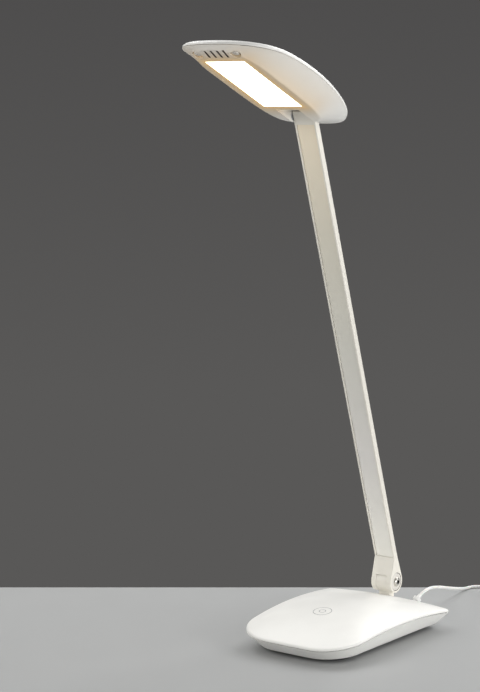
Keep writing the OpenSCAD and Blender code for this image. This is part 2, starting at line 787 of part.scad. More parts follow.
// ---------- head shells ----------

light_len = head_fwd - light_gap - light_tip;
window_rear = -light_gap;
window_front = window_rear - light_len;
vent_rear = window_front - 7;
slot_half = arm_w / 2 + 0.7;
slot_front = window_rear + 6;
slot_rear = 10;
slot_wall = 1.4;
barrel_top = 3.4;
slot_top = barrel_top + 1.5;
ramp_end = -knuckle_r - 1;
ramp_top = 2;
pin_head_r = 3;
pin_pocket = pin_head_r + 0.3;
front_screw = [18.5, window_front - 11.7];
front_seat = face + 2.8;
head_boss_t = 1.4;
hook_w = 7;
hook_z = 1.3;
hook_t = 1;
hook_y = slot_rear + slot_wall + 0.3;
panel_screw_spots = [for (x = [-26, 26], y = [window_front + 11, window_rear - 8]) [x, y]];
ledge = 1;
ledge_in = 1;
pocket_half = light_w / 2 + 3.05;
plate_z = face + 6.4;
plate_t = 1.2;

// What stands inside the lower shell is cut to its outer surface
module flank_fill(lift) {
    ring_solid([flank_ring(0, 0, lift), flank_ring(0.35, 0, lift), flank_ring(0.7, 0, lift),
            flank_ring(1, 0.5, lift), at_height(flank_ring(1, 0.5, 0), head_top)],
        [0, -head_wide, face + lift], [0, -head_wide, head_top]);
}

module head_lower_shell() {
    land_in = head_wall + slip;
    outer = [flank_ring(0, 0, 0), flank_ring(0.2, 0, 0), flank_ring(0.4, 0, 0), flank_ring(0.6, 0, 0),
        flank_ring(0.8, 0, 0), flank_ring(1, 0, 0), flank_ring(1, land_in, 0),
        flank_ring(1, land_in, 1), flank_ring(1, land_in + 0.8, 1)];
    inner = [for (part = [1, 0.75, 0.5, 0.25, 0]) inner_flank_ring(part)];
    color(white) in_head() difference() {
        union() {
            ring_solid(concat(outer, inner), [0, -head_wide, face], [0, -head_wide, face + head_wall]);
            intersection() {
                flank_fill(0.8);
                union() {
                    for (x = [-1, 1]) translate([x * front_screw.x, front_screw.y, face])
                        cylinder(r = 5.8, h = front_seat - face + head_boss_t);
                    for (p = panel_screw_spots) translate([p.x, p.y, face])
                        cylinder(r = 2.6, h = plate_z - face);
                    for (x = [-slot_half - slot_wall, slot_half]) {
                        block(x, x + slot_wall, slot_front, 0, face, slot_top);
                        block(x, x + slot_wall, -1, slot_rear, face, barrel_top);
                    }
                    block(-slot_half - 1, slot_half + 1, slot_rear, slot_rear + slot_wall, face,
                        hook_z + hook_t + 1.6);
                    across_slot(slot_half + 1) polygon([[slot_front, face], [ramp_end, ramp_top],
                        [ramp_end, ramp_top + slot_wall], [slot_front - slot_wall * 2, face + 1]]);
                    for (x = [-barrel_end, slot_half]) {
                        along_x(x, x + barrel_end - slot_half, barrel_r);
                        block(x, x + barrel_end - slot_half, -barrel_r, barrel_r, face, 0);
                    }
                }
            }
        }
        across_slot(slot_half) polygon([[slot_front, face - 10], [slot_front, face],
            [ramp_end, ramp_top], [ramp_end, 20], [slot_rear, 20], [slot_rear, face - 10]]);
        along_x(-barrel_end - 1, barrel_end + 1, pin_d / 2 + fit);
        block(-barrel_end - 1, barrel_end + 1, -pin_d / 2 - fit, pin_d / 2 + fit, 0, 20);
        block(-barrel_end - 1, barrel_end + 1, -barrel_r - 1, barrel_r + 1, barrel_top, 20);
        for (x = [-barrel_end - 3, barrel_end]) along_x(x, x + 3, pin_pocket);
        block(-hook_w / 2 - 0.3, hook_w / 2 + 0.3, slot_rear - 1, slot_rear + slot_wall + 1,
            hook_z - 0.3, hook_z + hook_t + 0.3);
        block(-light_w / 2, light_w / 2, window_front, window_rear, face - 1, face + 3);
        block(-light_w / 2 - ledge - slip, light_w / 2 + ledge + slip, window_front - ledge - slip,
            window_rear + ledge + slip, face + ledge_in, face + 3);
        block(-pocket_half, pocket_half, window_front - 3.3, window_rear + 3.3, face + 2.2, head_top);
        for (i = [0 : vent_count - 1]) translate([(i - (vent_count - 1) / 2) * 6, vent_rear, face - 1])
            translate([-vent_w / 2, -vent_len, 0]) cube([vent_w, vent_len, 6]);
        for (x = [-1, 1]) translate([x * front_screw.x, front_screw.y, face - 1]) {
            cylinder(r = 4.7, h = front_seat - face + 1);
            cylinder(r = 1.5, h = 12);
        }
        for (p = panel_screw_spots) translate([p.x, p.y, plate_z - 3.6])
            cylinder(r = 0.9 + fit, h = 4);
    }
}

// A shape in the plane of y and z, carried across the slot for the arm
module across_slot(half) {
    translate([-half, 0, 0]) rotate([90, 0, 90]) linear_extrude(2 * half) children();
}

pillar_gap = 0.2;
front_tip = face + 8;
module head_upper_shell() {
    inner = concat(
        [for (k = backwards(head_dome_steps)) upper_ring(k, head_wall, head_dome(k) - head_wall)],
        [upper_ring(1, head_wall, head_skirt - 1), upper_ring(1, head_wall, 0)]);
    outer = concat(
        [upper_ring(1, 0, 0), upper_ring(1, 0, head_skirt * 0.6), upper_ring(0.99, 0, head_skirt * 0.92)],
        [for (k = head_dome_steps) upper_ring(k, 0, head_dome(k))]);
    color(white) in_head() difference() {
        union() {
            ring_solid(concat(inner, outer), [0, -head_wide, head_top - head_wall],
                [0, -head_wide, head_top]);
            intersection() {
                upper_fill();
                for (x = [-1, 1]) {
                    translate([x * (slot_half + barrel_end) / 2 - 2.5, -pin_d / 2 + 0.1,
                        pin_d / 2 + 2 * fit]) cube([5, pin_d - 0.2, 20]);
                    translate([x * front_screw.x, front_screw.y,
                        front_seat + head_boss_t + pillar_gap]) cylinder(r = 3.4, h = 20);
                }
            }
            block(-hook_w / 2, hook_w / 2, hook_y, hook_y + 1.2, hook_z, hook_z + 4.4);
            block(-hook_w / 2, hook_w / 2, slot_rear + 0.3, hook_y + 0.2, hook_z, hook_z + hook_t);
        }
        for (x = [-1, 1]) translate([x * front_screw.x, front_screw.y, face])
            cylinder(r = 1.2 + fit, h = front_tip - face + 0.3);
    }
}

// What the upper shell's pillars may fill
module upper_fill() {
    half = head_wall / 2;
    rings = concat([at_height(upper_ring(0.9, half, 0), face), upper_ring(0.93, half, 0.5)],
        [for (k = head_dome_steps) upper_ring(k, half, head_dome(k) - half)]);
    ring_solid(rings, [0, -head_wide, face], [0, -head_wide, head_top - half]);
}

module head_screws() {
    color(zinc) in_head() for (x = [-1, 1]) translate([x * front_screw.x, front_screw.y, front_seat])
        difference() {
            union() {
                translate([0, 0, -1.7]) cylinder(r = 2.6, h = 1.7);
                translate([0, 0, -0.2]) cylinder(r = 1.2, h = front_tip - front_seat + 0.2);
            }
            for (a = [0, 90]) translate([0, 0, -1.3]) rotate([0, 0, a])
                cube([3, 0.6, 1.2], center = true);
        }
}

// ---------- light panel ----------

diffuser_z = face + ledge_in;
guide_z = diffuser_z + diffuser_t + 0.05;
guide_half = light_w / 2 + 0.2;
led_half = guide_half + 0.05;
strip_half = led_half + 0.9;
frame_half = pocket_half - 0.1;

module diffuser() {
    color(lit) in_head() {
        block(-light_w / 2 - ledge, light_w / 2 + ledge, window_front - ledge, window_rear + ledge,
            diffuser_z, diffuser_z + diffuser_t);
        block(-light_w / 2 + slip, light_w / 2 - slip, window_front + slip, window_rear - slip,
            face + 0.1, diffuser_z + 0.1);
    }
}

module light_guide() {
    color(clear) in_head()
        block(-guide_half, guide_half, window_front - 1, window_rear + 1, guide_z, guide_z + guide_t);
}

module reflector() {
    color(white) in_head()
        block(-guide_half, guide_half, window_front - 1, window_rear + 1,
            guide_z + guide_t + 0.05, guide_z + guide_t + 0.45);
}

module led_boards() {
    color(green) in_head() for (x = [-strip_half - 0.8, strip_half])
        block(x, x + 0.8, window_front + 1, window_rear - 1, guide_z, guide_z + guide_t);
}

module leds() {
    pitch = (light_len - 8) / (led_count - 1);
    color(lit) in_head() for (i = [0 : led_count - 1], side = [-1, 1])
        translate([side * (led_half + 0.45), window_front + 4 + i * pitch, guide_z + guide_t / 2])
            cube([0.9, 3.4, 2.2], center = true);
}

module panel_frame() {
    inner = strip_half + 0.85;
    color(black) in_head() difference() {
        block(-frame_half, frame_half, window_front - 3.1, window_rear + 3.1, guide_z, plate_z - 0.05);
        block(-inner, inner, window_front - 1.1, window_rear + 1.1, guide_z - 1, plate_z + 1);
    }
}

module heat_plate() {
    half = panel_screw_spots[3].x + 3;
    color(steel) in_head() difference() {
        block(-half, half, window_front + 6, window_rear + 3, plate_z, plate_z + plate_t);
        for (p = panel_screw_spots) translate([p.x, p.y, plate_z - 1]) cylinder(r = 1.1, h = plate_t + 2);
    }
}

module panel_screws() {
    color(steel) in_head() for (p = panel_screw_spots) translate([p.x, p.y, 0]) {
        translate([0, 0, plate_z + plate_t]) cylinder(r = 1.8, h = 1);
        translate([0, 0, plate_z - 3]) cylinder(r = 0.9, h = plate_t + 3.2);
    }
}

// ---------- head hinge ----------

module head_pin() {
    color(steel) in_head() difference() {
        union() {
            along_x(-barrel_end - 2.8, barrel_end + 0.1, pin_d / 2);
            along_x(barrel_end + fit, barrel_end + 2.2, pin_head_r);
        }
        translate([barrel_end + 1, 0, 0]) rotate([0, 90, 0]) cylinder(r = 1.4, h = 3, $fn = 6);
    }
}

module head_nut() {
    color(steel) in_head() difference() {
        translate([-barrel_end - 2.4, 0, 0]) rotate([0, 90, 0])
            cylinder(r = pin_pocket - fit, h = 2.4 - fit, $fn = 6);
        along_x(-barrel_end - 3, -barrel_end + 1, pin_d / 2 + fit);
    }
}

module head_washers() {
    t = slot_half - knuckle_w / 2 - 2 * fit;
    color(steel) in_head() for (x = [-slot_half + fit, slot_half - fit - t]) difference() {
        along_x(x, x + t, 4.6);
        along_x(x - 1, x + t + 1, pin_d / 2 + fit);
    }
}

// ---------- power lead ----------

plug_back = base_len / 2 + 3.4;
plug_r = 3.2;
boot_len = 12;
boot_way = [0.26, 0.7, 0.665];
collar_r = 3.9;
coil_mid_r = 5.5 * cord_d;
coil_w = coil_cols * cord_d;
coil_h = coil_rows * cord_d;
outer_turn = coil_mid_r + (coil_w - cord_d) / 2;
laid = cord_d / 2;
usb_z = 3.5;

// The lead's way, from the socket across and from the back of the base backwards
lead_points = [[3.1, 11.8, 18.4], [4.2, 16.7, 20.6], [4.8, 22.8, 21.9], [4.8, 30.7, 21.6],
    [4.4, 40.1, 20], [2.9, 51.6, 17.2], [1, 64.4, 13.8], [-0.5, 76.9, 10.4], [-1.9, 89.4, 7.2],
    [-3.3, 101, 4.4], [-4.2, 110, 2.4], [-4.5, 116.6, laid], [-2.5, 123.1, laid], [1.5, 127.6, laid],
    [7.5, 130.1, laid], [16, 130.6, laid], [26, 130.6, laid], [41, 130.6, laid]];
coil_at = [49.5, 130.6 - outer_turn];
tail_x = coil_at.x + outer_turn + cord_d;
tail_points = [[tail_x, coil_at.y, laid], [tail_x, coil_at.y - 8, laid], [tail_x, coil_at.y - 14, laid],
    [tail_x, coil_at.y - 20, 2.6], [tail_x, coil_at.y - 25, usb_z], [tail_x, coil_at.y - 29, usb_z]];
usb_at = [tail_x, coil_at.y - 29];

module behind_socket() {
    translate([socket_x, base_len / 2, 0]) children();
}

function spline_point(v, i, t) = let (
        a = v[max(i - 1, 0)], b = v[i], c = v[i + 1], d = v[min(i + 2, len(v) - 1)])
    0.5 * (2 * b + (c - a) * t + (2 * a - 5 * b + 4 * c - d) * t * t + (3 * b - 3 * c + d - a) * t * t * t);
function fine_path(v) = concat(
    [for (i = [0 : len(v) - 2], t = [0, 0.5]) spline_point(v, i, t)], [v[len(v) - 1]]);

// A tube of radius r along the points of a path
module tube(v, r) {
    n = 8;
    last = len(v) - 1;
    points = concat([for (i = [0 : last])
        let (way = v[min(i + 1, last)] - v[max(i - 1, 0)],
            ahead = way / norm(way),
            level = cross([0, 0, 1], ahead),
            side = level / norm(level),
            up = cross(ahead, side))
        for (j = [0 : n - 1]) v[i] + r * (cos(360 * j / n) * side + sin(360 * j / n) * up)],
        [v[0], v[last]]);
    faces = concat(
        [for (i = [0 : last - 1], j = [0 : n - 1]) let (k = (j + 1) % n)
            [i * n + j, (i + 1) * n + j, (i + 1) * n + k]],
        [for (i = [0 : last - 1], j = [0 : n - 1]) let (k = (j + 1) % n)
            [i * n + j, (i + 1) * n + k, i * n + k]],
        [for (j = [0 : n - 1]) [(last + 1) * n, j, (j + 1) % n]],
        [for (j = [0 : n - 1]) [(last + 1) * n + 1, last * n + (j + 1) % n, last * n + j]]);
    polyhedron(points, faces, convexity = 8);
}

module lead_plug() {
    color(white) translate([socket_x, plug_back, socket_z]) {
        rotate([90, 0, 0]) cylinder(r = plug_r, h = plug_back - socket_face - 0.2);
        rotate([0, 0, -atan2(boot_way.x, boot_way.y)]) rotate([asin(boot_way.z) - 90, 0, 0]) {
            translate([0, 0, -2]) cylinder(r1 = plug_r, r2 = cord_d / 2 + 0.3, h = boot_len + 2);
            translate([0, 0, 4.6]) cylinder(r = collar_r, h = 3.6);
        }
    }
}

module plug_pin() {
    color(steel) difference() {
        translate([socket_x, socket_face + 0.2, socket_z]) rotate([90, 0, 0])
            cylinder(r = plug_pin_r, h = 7);
        translate([socket_x, socket_face, socket_z]) rotate([90, 0, 0]) cylinder(r = 1, h = 8);
    }
}

module power_cord() {
    color(white) behind_socket() tube(fine_path(lead_points), cord_d / 2);
}

module cord_coil() {
    corner = cord_d / 2;
    color(white) behind_socket() translate([coil_at.x, coil_at.y, coil_h / 2]) rotate_extrude($fn = 48)
        translate([coil_mid_r, 0]) union() {
            square([coil_w - 2 * corner, coil_h], center = true);
            square([coil_w, coil_h - 2 * corner], center = true);
            for (x = [-1, 1], y = [-1, 1])
                translate([x * (coil_w / 2 - corner), y * (coil_h / 2 - corner)])
                    circle(corner, $fn = 16);
        }
}

module cord_tail() {
    color(white) behind_socket() tube(tail_points, cord_d / 2);
}

module usb_plug_body() {
    color(white) behind_socket() translate([usb_at.x, usb_at.y, usb_z]) rotate([90, 0, 0]) {
        cylinder(r1 = cord_d / 2 + 0.3, r2 = 3, h = 5);
        translate([0, 0, 5]) translate([0, 0, 10]) cube([12.6, 7, 20], center = true);
    }
}

module usb_plug_shell() {
    color(steel) behind_socket() translate([usb_at.x, usb_at.y - 25, usb_z]) rotate([90, 0, 0])
        difference() {
            translate([0, 0, 5.9]) cube([12, 4.5, 11.8], center = true);
            translate([0, 0.9, 6.4]) cube([11.2, 1.9, 11.8], center = true);
        }
}

base_cover();
base_tray();
base_pad();
ballast_plate();
cover_screws();
touch_rings();
touch_spring();
touch_board();
touch_screws();
main_board();
board_parts();
board_standoffs();
board_screws();
power_socket();
neck();
neck_screws();
hinge_bolt();
hinge_nut();
hinge_caps();
hinge_washers();
clevis();
arm_channel();
arm_strip();
arm_screws();
arm_wires();
knuckle();
head_lower_shell();
head_upper_shell();
head_screws();
diffuser();
light_guide();
reflector();
led_boards();
leds();
panel_frame();
heat_plate();
panel_screws();
head_pin();
head_nut();
head_washers();
lead_plug();
plug_pin();
power_cord();
cord_coil();
cord_tail();
usb_plug_body();
usb_plug_shell();
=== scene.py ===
import math

import bpy
import bmesh
from mathutils import Matrix, Vector
from mathutils.bvhtree import BVHTree


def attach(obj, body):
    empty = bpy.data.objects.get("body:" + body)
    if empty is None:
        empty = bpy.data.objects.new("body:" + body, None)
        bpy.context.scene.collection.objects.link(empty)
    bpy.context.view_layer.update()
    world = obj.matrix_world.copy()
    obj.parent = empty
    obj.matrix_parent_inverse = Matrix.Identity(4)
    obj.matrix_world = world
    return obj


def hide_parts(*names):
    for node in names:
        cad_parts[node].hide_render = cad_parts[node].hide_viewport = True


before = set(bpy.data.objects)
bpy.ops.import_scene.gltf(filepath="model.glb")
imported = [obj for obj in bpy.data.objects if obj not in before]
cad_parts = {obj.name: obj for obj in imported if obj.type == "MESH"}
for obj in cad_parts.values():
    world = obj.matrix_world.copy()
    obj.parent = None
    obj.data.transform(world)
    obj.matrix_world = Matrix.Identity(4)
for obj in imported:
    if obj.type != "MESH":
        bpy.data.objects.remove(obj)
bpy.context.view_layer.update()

# ---- Camera --------------------------------------------------------------------------
# The lamp is seen from its front right, a little above the table, through a long lens.
# Every size in this file is in millimetres; mm turns one into metres.
mm = 0.001
film_width = 36
picture_height = 692
focal_length = 1850
view_turn = 36
view_drop = 7.35
camera_place = (882.83, -1375.59, 476.09)
lens = bpy.data.cameras.new("front_right")
lens.sensor_width = film_width
lens.lens = film_width * focal_length / picture_height
lens.clip_start = 10 * mm
camera = bpy.data.objects.new("front_right", lens)
bpy.context.collection.objects.link(camera)
camera.location = Vector(camera_place) * mm
camera.rotation_euler = (math.radians(90 - view_drop), 0, math.radians(view_turn))
bpy.context.scene.camera = camera
bpy.context.scene.view_settings.view_transform = "Standard"


# ---- Power lead ----------------------------------------------------------------------
# A round two-core lead in soft white vinyl, 1.5 m long. It leaves the moulded plug at the
# back of the base and drops to the table. The rest is wound in a coil that ends in the
# USB plug.
lead_d = 3
base_len = 187.8
socket_x = 14.5
laid = lead_d / 2
far_back = 130.6
lead_points = [(3.1, 11.8, 18.4), (4.2, 16.7, 20.6), (4.8, 22.8, 21.9), (4.8, 30.7, 21.6),
               (4.4, 40.1, 20), (2.9, 51.6, 17.2), (1, 64.4, 13.8), (-0.5, 76.9, 10.4),
               (-1.9, 89.4, 7.2), (-3.3, 101, 4.4), (-4.2, 110, 2.4), (-4.5, 116.6, laid),
               (-2.5, 123.1, laid), (1.5, 127.6, laid), (7.5, 130.1, laid), (16, far_back, laid),
               (26, far_back, laid), (41, far_back, laid)]
coil_columns = 3
coil_layers = 4
mean_turn = 5.5 * lead_d
outer_turn = mean_turn + (coil_columns - 1) / 2 * lead_d
coil_x = socket_x + 49.5
coil_y = base_len / 2 + far_back - outer_turn
tail_points = [(0, laid), (-8, laid), (-14, laid), (-20, 2.6), (-25, 3.5), (-30, 3.5)]
lead_white = (246, 246, 243)


def spline_through(points, steps):
    """A smooth line through points, with steps pieces between each two."""
    out = []
    for i in range(len(points) - 1):
        a, b = points[max(i - 1, 0)], points[i]
        c, d = points[i + 1], points[min(i + 2, len(points) - 1)]
        for k in range(steps):
            t = k / steps
            out.append(0.5 * (2 * b + (c - a) * t + (2 * a - 5 * b + 4 * c - d) * t * t
                              + (3 * b - 3 * c + d - a) * t ** 3))
    out.append(points[-1])
    return out


def ease(t):
    """From 0 to 1 with a level start and end."""
    t = min(max(t, 0), 1)
    return t * t * (3 - 2 * t)


def wound_way():
    """The coil: its layers run in and out in turn, and the last turn slips down outside.
    A turn has per_turn points, and takes the last ones of them to move to the next turn."""
    per_turn = 36
    shift = 10
    radii = [outer_turn - c * lead_d for c in range(coil_columns)]
    turns = []
    for layer in range(coil_layers):
        order = radii if layer % 2 == 0 else radii[::-1]
        turns += [(r, laid + layer * lead_d) for r in order]
    way = []
    for i, (r, z) in enumerate(turns):
        last = i == len(turns) - 1
        next_r, next_z = (outer_turn + lead_d, laid) if last else turns[i + 1]
        steps = per_turn * 5 // 4 if last else per_turn
        start = per_turn // 2 if last else per_turn - shift
        for k in range(steps):
            angle = math.radians(90 - 360 * k / per_turn)
            radius = r + (next_r - r) * ease((k - start) / shift)
            height = z + (next_z - z) * ease((k - start) / (steps - start))
            way.append(Vector((coil_x + radius * math.cos(angle),
                               coil_y + radius * math.sin(angle), height)))
    return way


def colour(rgb):
    """A colour written as 0 to 255 in each channel, as Blender's shaders take it."""
    line = [c / 255 for c in rgb]
    return (*[c / 12.92 if c <= 0.04045 else ((c + 0.055) / 1.055) ** 2.4 for c in line], 1)


def with_values(node, values):
    """The node with some of its own values set."""
    for name, value in values.items():
        node.inputs[name].default_value = value
    return node


def mottled(name, pale, shade=0.94, patch=60, gloss=(0.35, 0.5), grain=900, depth=0.03):
    """A finish with soft uneven patches of tone and gloss, and a fine grain in relief.
    patch and grain are how many there are to a metre, and depth is the grain's in mm."""
    material = bpy.data.materials.new(name)
    material.use_nodes = True
    nodes, links = material.node_tree.nodes, material.node_tree.links
    shader = nodes["Principled BSDF"]
    place = nodes.new("ShaderNodeTexCoord")
    cloud = with_values(nodes.new("ShaderNodeTexNoise"), {"Scale": patch, "Detail": 5})
    links.new(place.outputs["Object"], cloud.inputs["Vector"])
    tone = nodes.new("ShaderNodeValToRGB")
    full = colour(pale)
    tone.color_ramp.elements[0].position = 0.32
    tone.color_ramp.elements[0].color = (*[c * shade for c in full[:3]], 1)
    tone.color_ramp.elements[1].position = 0.68
    tone.color_ramp.elements[1].color = full
    links.new(cloud.outputs["Fac"], tone.inputs["Fac"])
    links.new(tone.outputs["Color"], shader.inputs["Base Color"])
    shine = with_values(nodes.new("ShaderNodeMapRange"), {"From Min": 0.3, "From Max": 0.7,
                                                          "To Min": gloss[0], "To Max": gloss[1]})
    links.new(cloud.outputs["Fac"], shine.inputs["Value"])
    links.new(shine.outputs["Result"], shader.inputs["Roughness"])
    grit = with_values(nodes.new("ShaderNodeTexNoise"), {"Scale": grain, "Detail": 2})
    links.new(place.outputs["Object"], grit.inputs["Vector"])
    relief = with_values(nodes.new("ShaderNodeBump"), {"Strength": 0.5, "Distance": depth * mm})
    links.new(grit.outputs["Fac"], relief.inputs["Height"])
    links.new(relief.outputs["Normal"], shader.inputs["Normal"])
    return material


def tuned(material, settings):
    """The finish with some of its shader's own values set."""
    with_values(material.node_tree.nodes["Principled BSDF"], settings)
    return material


def join_lamp(name, mesh, material, body, slot, *nodes):
    """Puts a finished mesh in the lamp: its finish, its body and the nodes it stands for."""
    piece = bpy.data.objects.new(name, mesh)
    bpy.context.collection.objects.link(piece)
    mesh.materials.clear()
    mesh.materials.append(material)
    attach(piece, body)
    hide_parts(*nodes)
    return piece


back_edge = base_len / 2
lead_way = [Vector((socket_x + x, back_edge + y, z)) for x, y, z in lead_points]
lead_way = [p for p in spline_through(lead_way, 3) if p.x < coil_x - lead_d / 2]
lead_way += wound_way()
tail_x = coil_x + outer_turn + lead_d
lead_way += spline_through([Vector((tail_x, coil_y + y, z)) for y, z in tail_points], 3)
lead_line = bpy.data.curves.new("power_lead", "CURVE")
lead_line.dimensions = "3D"
lead_line.bevel_depth = lead_d / 2 * mm
lead_line.bevel_resolution = 3
lead_line.use_fill_caps = True
spots = lead_line.splines.new("POLY").points
spots.add(len(lead_way) - 1)
for spot, place in zip(spots, lead_way):
    spot.co = (*(place * mm), 1)
lead_vinyl = tuned(mottled("lead_vinyl", lead_white, patch=120, gloss=(0.3, 0.45), grain=1500),
                   {"Subsurface Weight": 0.1, "Subsurface Scale": 2 * mm})
lead = join_lamp("power_lead", lead_line, lead_vinyl, "base", "lead_white",
                 "power_cord", "cord_coil", "cord_tail")


# ---- Lead plug -----------------------------------------------------------------------
# A small round plug moulded on the lead in a white vinyl. A grooved sleeve on its tail lets
# the lead bend without a kink, and its plated pin goes into the socket of the base.
socket_z = 10.4
socket_face = back_edge - 3.4
plug_back = back_edge + 3.4
plug_r = 3.2
sleeve_len = 12
sleeve_r = 3.1
sleeve_end_r = 1.8
sleeve_way = Vector((0.26, 0.7, 0.665))
collar_r = 3.9
collar_at = 4.6
collar_len = 3.6
groove_zs = (9.1, 10.2, 11.3)
plug_white = (250, 250, 248)
nickel_tone = (214, 211, 204)


def meshed(name, shape, turn_out=True):
    """A mesh of what was drawn, with its faces turned outward unless they are already."""
    if turn_out:
        bmesh.ops.recalc_face_normals(shape, faces=shape.faces)
    mesh = bpy.data.meshes.new(name)
    shape.to_mesh(mesh)
    shape.free()
    return mesh


def turned(name, outline, around=48):
    """A closed round piece on +Z from its (radius, height) outline, bottom to top."""
    shape = bmesh.new()
    rings = []
    for r, z in outline:
        turns = [2 * math.pi * j / around for j in range(around)] if r else [0]
        rings.append([shape.verts.new((r * math.cos(a), r * math.sin(a), z)) for a in turns])
    for low, high in zip(rings, rings[1:]):
        for j in range(around):
            k = (j + 1) % around
            if len(low) == 1:
                shape.faces.new((low[0], high[k], high[j]))
            elif len(high) == 1:
                shape.faces.new((low[j], low[k], high[0]))
            else:
                shape.faces.new((low[j], low[k], high[k], high[j]))
    return meshed(name, shape)


def finished(mesh, place=None, sharp=35):
    """The mesh put in its place, in metres, shaded smooth up to an edge of that angle."""
    mesh.transform(Matrix.Scale(mm, 4) @ (place or Matrix.Identity(4)))
    mesh.shade_smooth()
    mesh.set_sharp_from_angle(angle=math.radians(sharp))
    return mesh


def sleeve_radius(z):
    """The sleeve narrows evenly towards its end."""
    return sleeve_r + (sleeve_end_r - sleeve_r) * z / sleeve_len


collar_end = collar_at + collar_len
sleeve_outline = [(0, -2), (sleeve_r, -2), (sleeve_radius(0), 0),
                  (sleeve_radius(collar_at), collar_at),
                  (collar_r - 0.3, collar_at), (collar_r, collar_at + 0.3),
                  (collar_r, collar_end - 0.3), (collar_r - 0.3, collar_end),
                  (sleeve_radius(collar_end), collar_end)]
for z in groove_zs:
    r = sleeve_radius(z)
    sleeve_outline += [(r, z - 0.3), (r - 0.35, z - 0.2), (r - 0.35, z + 0.2), (r, z + 0.3)]
sleeve_outline += [(sleeve_end_r, sleeve_len - 0.2), (sleeve_end_r - 0.2, sleeve_len), (0, sleeve_len)]
at_plug = Matrix.Translation((socket_x, plug_back, socket_z))
plug_reach = socket_face + 0.2 - plug_back
plug_mesh = turned("lead_plug_body", [(0, plug_reach), (plug_r - 0.4, plug_reach),
                                      (plug_r, plug_reach + 0.4), (plug_r, -0.6),
                                      (plug_r - 0.5, 0), (0, 0)])
sleeve_mesh = turned("strain_relief", sleeve_outline)
plug_vinyl = mottled("plug_vinyl", plug_white, patch=150, gloss=(0.4, 0.55), grain=1800)
plug_turn = Matrix.Rotation(-math.pi / 2, 4, "X")
sleeve_turn = sleeve_way.to_track_quat("Z", "Y").to_matrix().to_4x4()
plug = join_lamp("lead_plug_body", finished(plug_mesh, at_plug @ plug_turn), plug_vinyl, "base",
                 "lead_white", "lead_plug")
sleeve = join_lamp("strain_relief", finished(sleeve_mesh, at_plug @ sleeve_turn), plug_vinyl, "base",
                   "lead_white", "lead_plug")


def metal(name, tone, patch=200, gloss=(0.25, 0.4), grain=1200, depth=0.01):
    """A plain metal with faint uneven plating and fine tool marks."""
    return tuned(mottled(name, tone, 0.85, patch, gloss, grain, depth), {"Metallic": 1})


def refinish(material, *nodes):
    """Gives solids that keep their own shape a better finish."""
    for node in nodes:
        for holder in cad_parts[node].material_slots:
            holder.material = material


nickel = metal("nickel_plate", nickel_tone)
refinish(nickel, "plug_pin")


# ---- USB plug ------------------------------------------------------------------------
# The far end of the lead: a flat moulded grip with ribs on both faces, and a folded steel
# shell with two square windows round a white tongue with four gilt contacts.
usb_z = 3.5
usb_y = coil_y - 29
grip_w = 12.6
grip_t = 7
grip_len = 20
neck_len = 5
shell_w = 12
shell_t = 4.5
shell_len = 11.8
shell_wall = 0.4
rib_ys = [-6 + 1.6 * i for i in range(6)]
gilt_tone = (222, 184, 104)


def band(shape, low, high):
    """A band of faces between two rings with as many corners."""
    for j in range(len(low)):
        k = (j + 1) % len(low)
        shape.faces.new((low[j], low[k], high[k], high[j]))


def slab(name, w, l, t, r=0, around=6):
    """A plate w by l by t centred on the origin, with its upright corners rounded to r."""
    shape = bmesh.new()
    corners = []
    for sx, sy, start in ((1, 1, 0), (-1, 1, 90), (-1, -1, 180), (1, -1, 270)):
        for k in range(around + 1 if r else 1):
            a = math.radians(start + 90 * k / around)
            corners.append((sx * (w / 2 - r) + r * math.cos(a),
                            sy * (l / 2 - r) + r * math.sin(a)))
    low = [shape.verts.new((x, y, -t / 2)) for x, y in corners]
    high = [shape.verts.new((x, y, t / 2)) for x, y in corners]
    shape.faces.new(low[::-1])
    shape.faces.new(high)
    band(shape, low, high)
    return meshed(name, shape, False)


def moved(mesh, x, y, z, turn=0, axis="X"):
    """The mesh turned by an angle about an axis and set at a point."""
    mesh.transform(Matrix.Translation((x, y, z)) @ Matrix.Rotation(math.radians(turn), 4, axis))
    return mesh


def together(*meshes):
    """One mesh of several that don't touch."""
    shape = bmesh.new()
    for mesh in meshes:
        shape.from_mesh(mesh)
    return meshed(meshes[0].name, shape, False)


def through_modifiers(mesh, add):
    """The mesh as it is after the modifiers that add() puts on it."""
    blank = bpy.data.objects.new(mesh.name, mesh)
    bpy.context.collection.objects.link(blank)
    extra = add(blank)
    bpy.context.view_layer.update()
    seen = blank.evaluated_get(bpy.context.evaluated_depsgraph_get())
    result = bpy.data.meshes.new_from_object(seen)
    result.name = mesh.name
    for piece in [blank] + (extra or []):
        bpy.data.objects.remove(piece)
    return result


def carved(mesh, tool, operation="DIFFERENCE"):
    """The mesh with another taken from it, added to it or crossed with it."""
    def add(blank):
        cutter = bpy.data.objects.new("cutter", tool)
        bpy.context.collection.objects.link(cutter)
        step = blank.modifiers.new("carve", "BOOLEAN")
        step.operation = operation
        step.solver = "EXACT"
        step.object = cutter
        return [cutter]
    return through_modifiers(mesh, add)


def broken_edges(mesh, width, steps=3, angle=40):
    """The mesh with its sharp edges rounded over that width, and its flats kept flat."""
    shape = bmesh.new()
    shape.from_mesh(mesh)
    bmesh.ops.remove_doubles(shape, verts=shape.verts, dist=0.005)
    bmesh.ops.dissolve_limit(shape, angle_limit=math.radians(0.5), verts=shape.verts,
                             edges=shape.edges)
    shape.to_mesh(mesh)
    shape.free()

    def add(blank):
        step = blank.modifiers.new("edges", "BEVEL")
        step.width = width
        step.segments = steps
        step.limit_method = "ANGLE"
        step.angle_limit = math.radians(angle)
        step.use_clamp_overlap = False
        blank.data.shade_smooth()
        blank.modifiers.new("flats", "WEIGHTED_NORMAL")
    return through_modifiers(mesh, add)


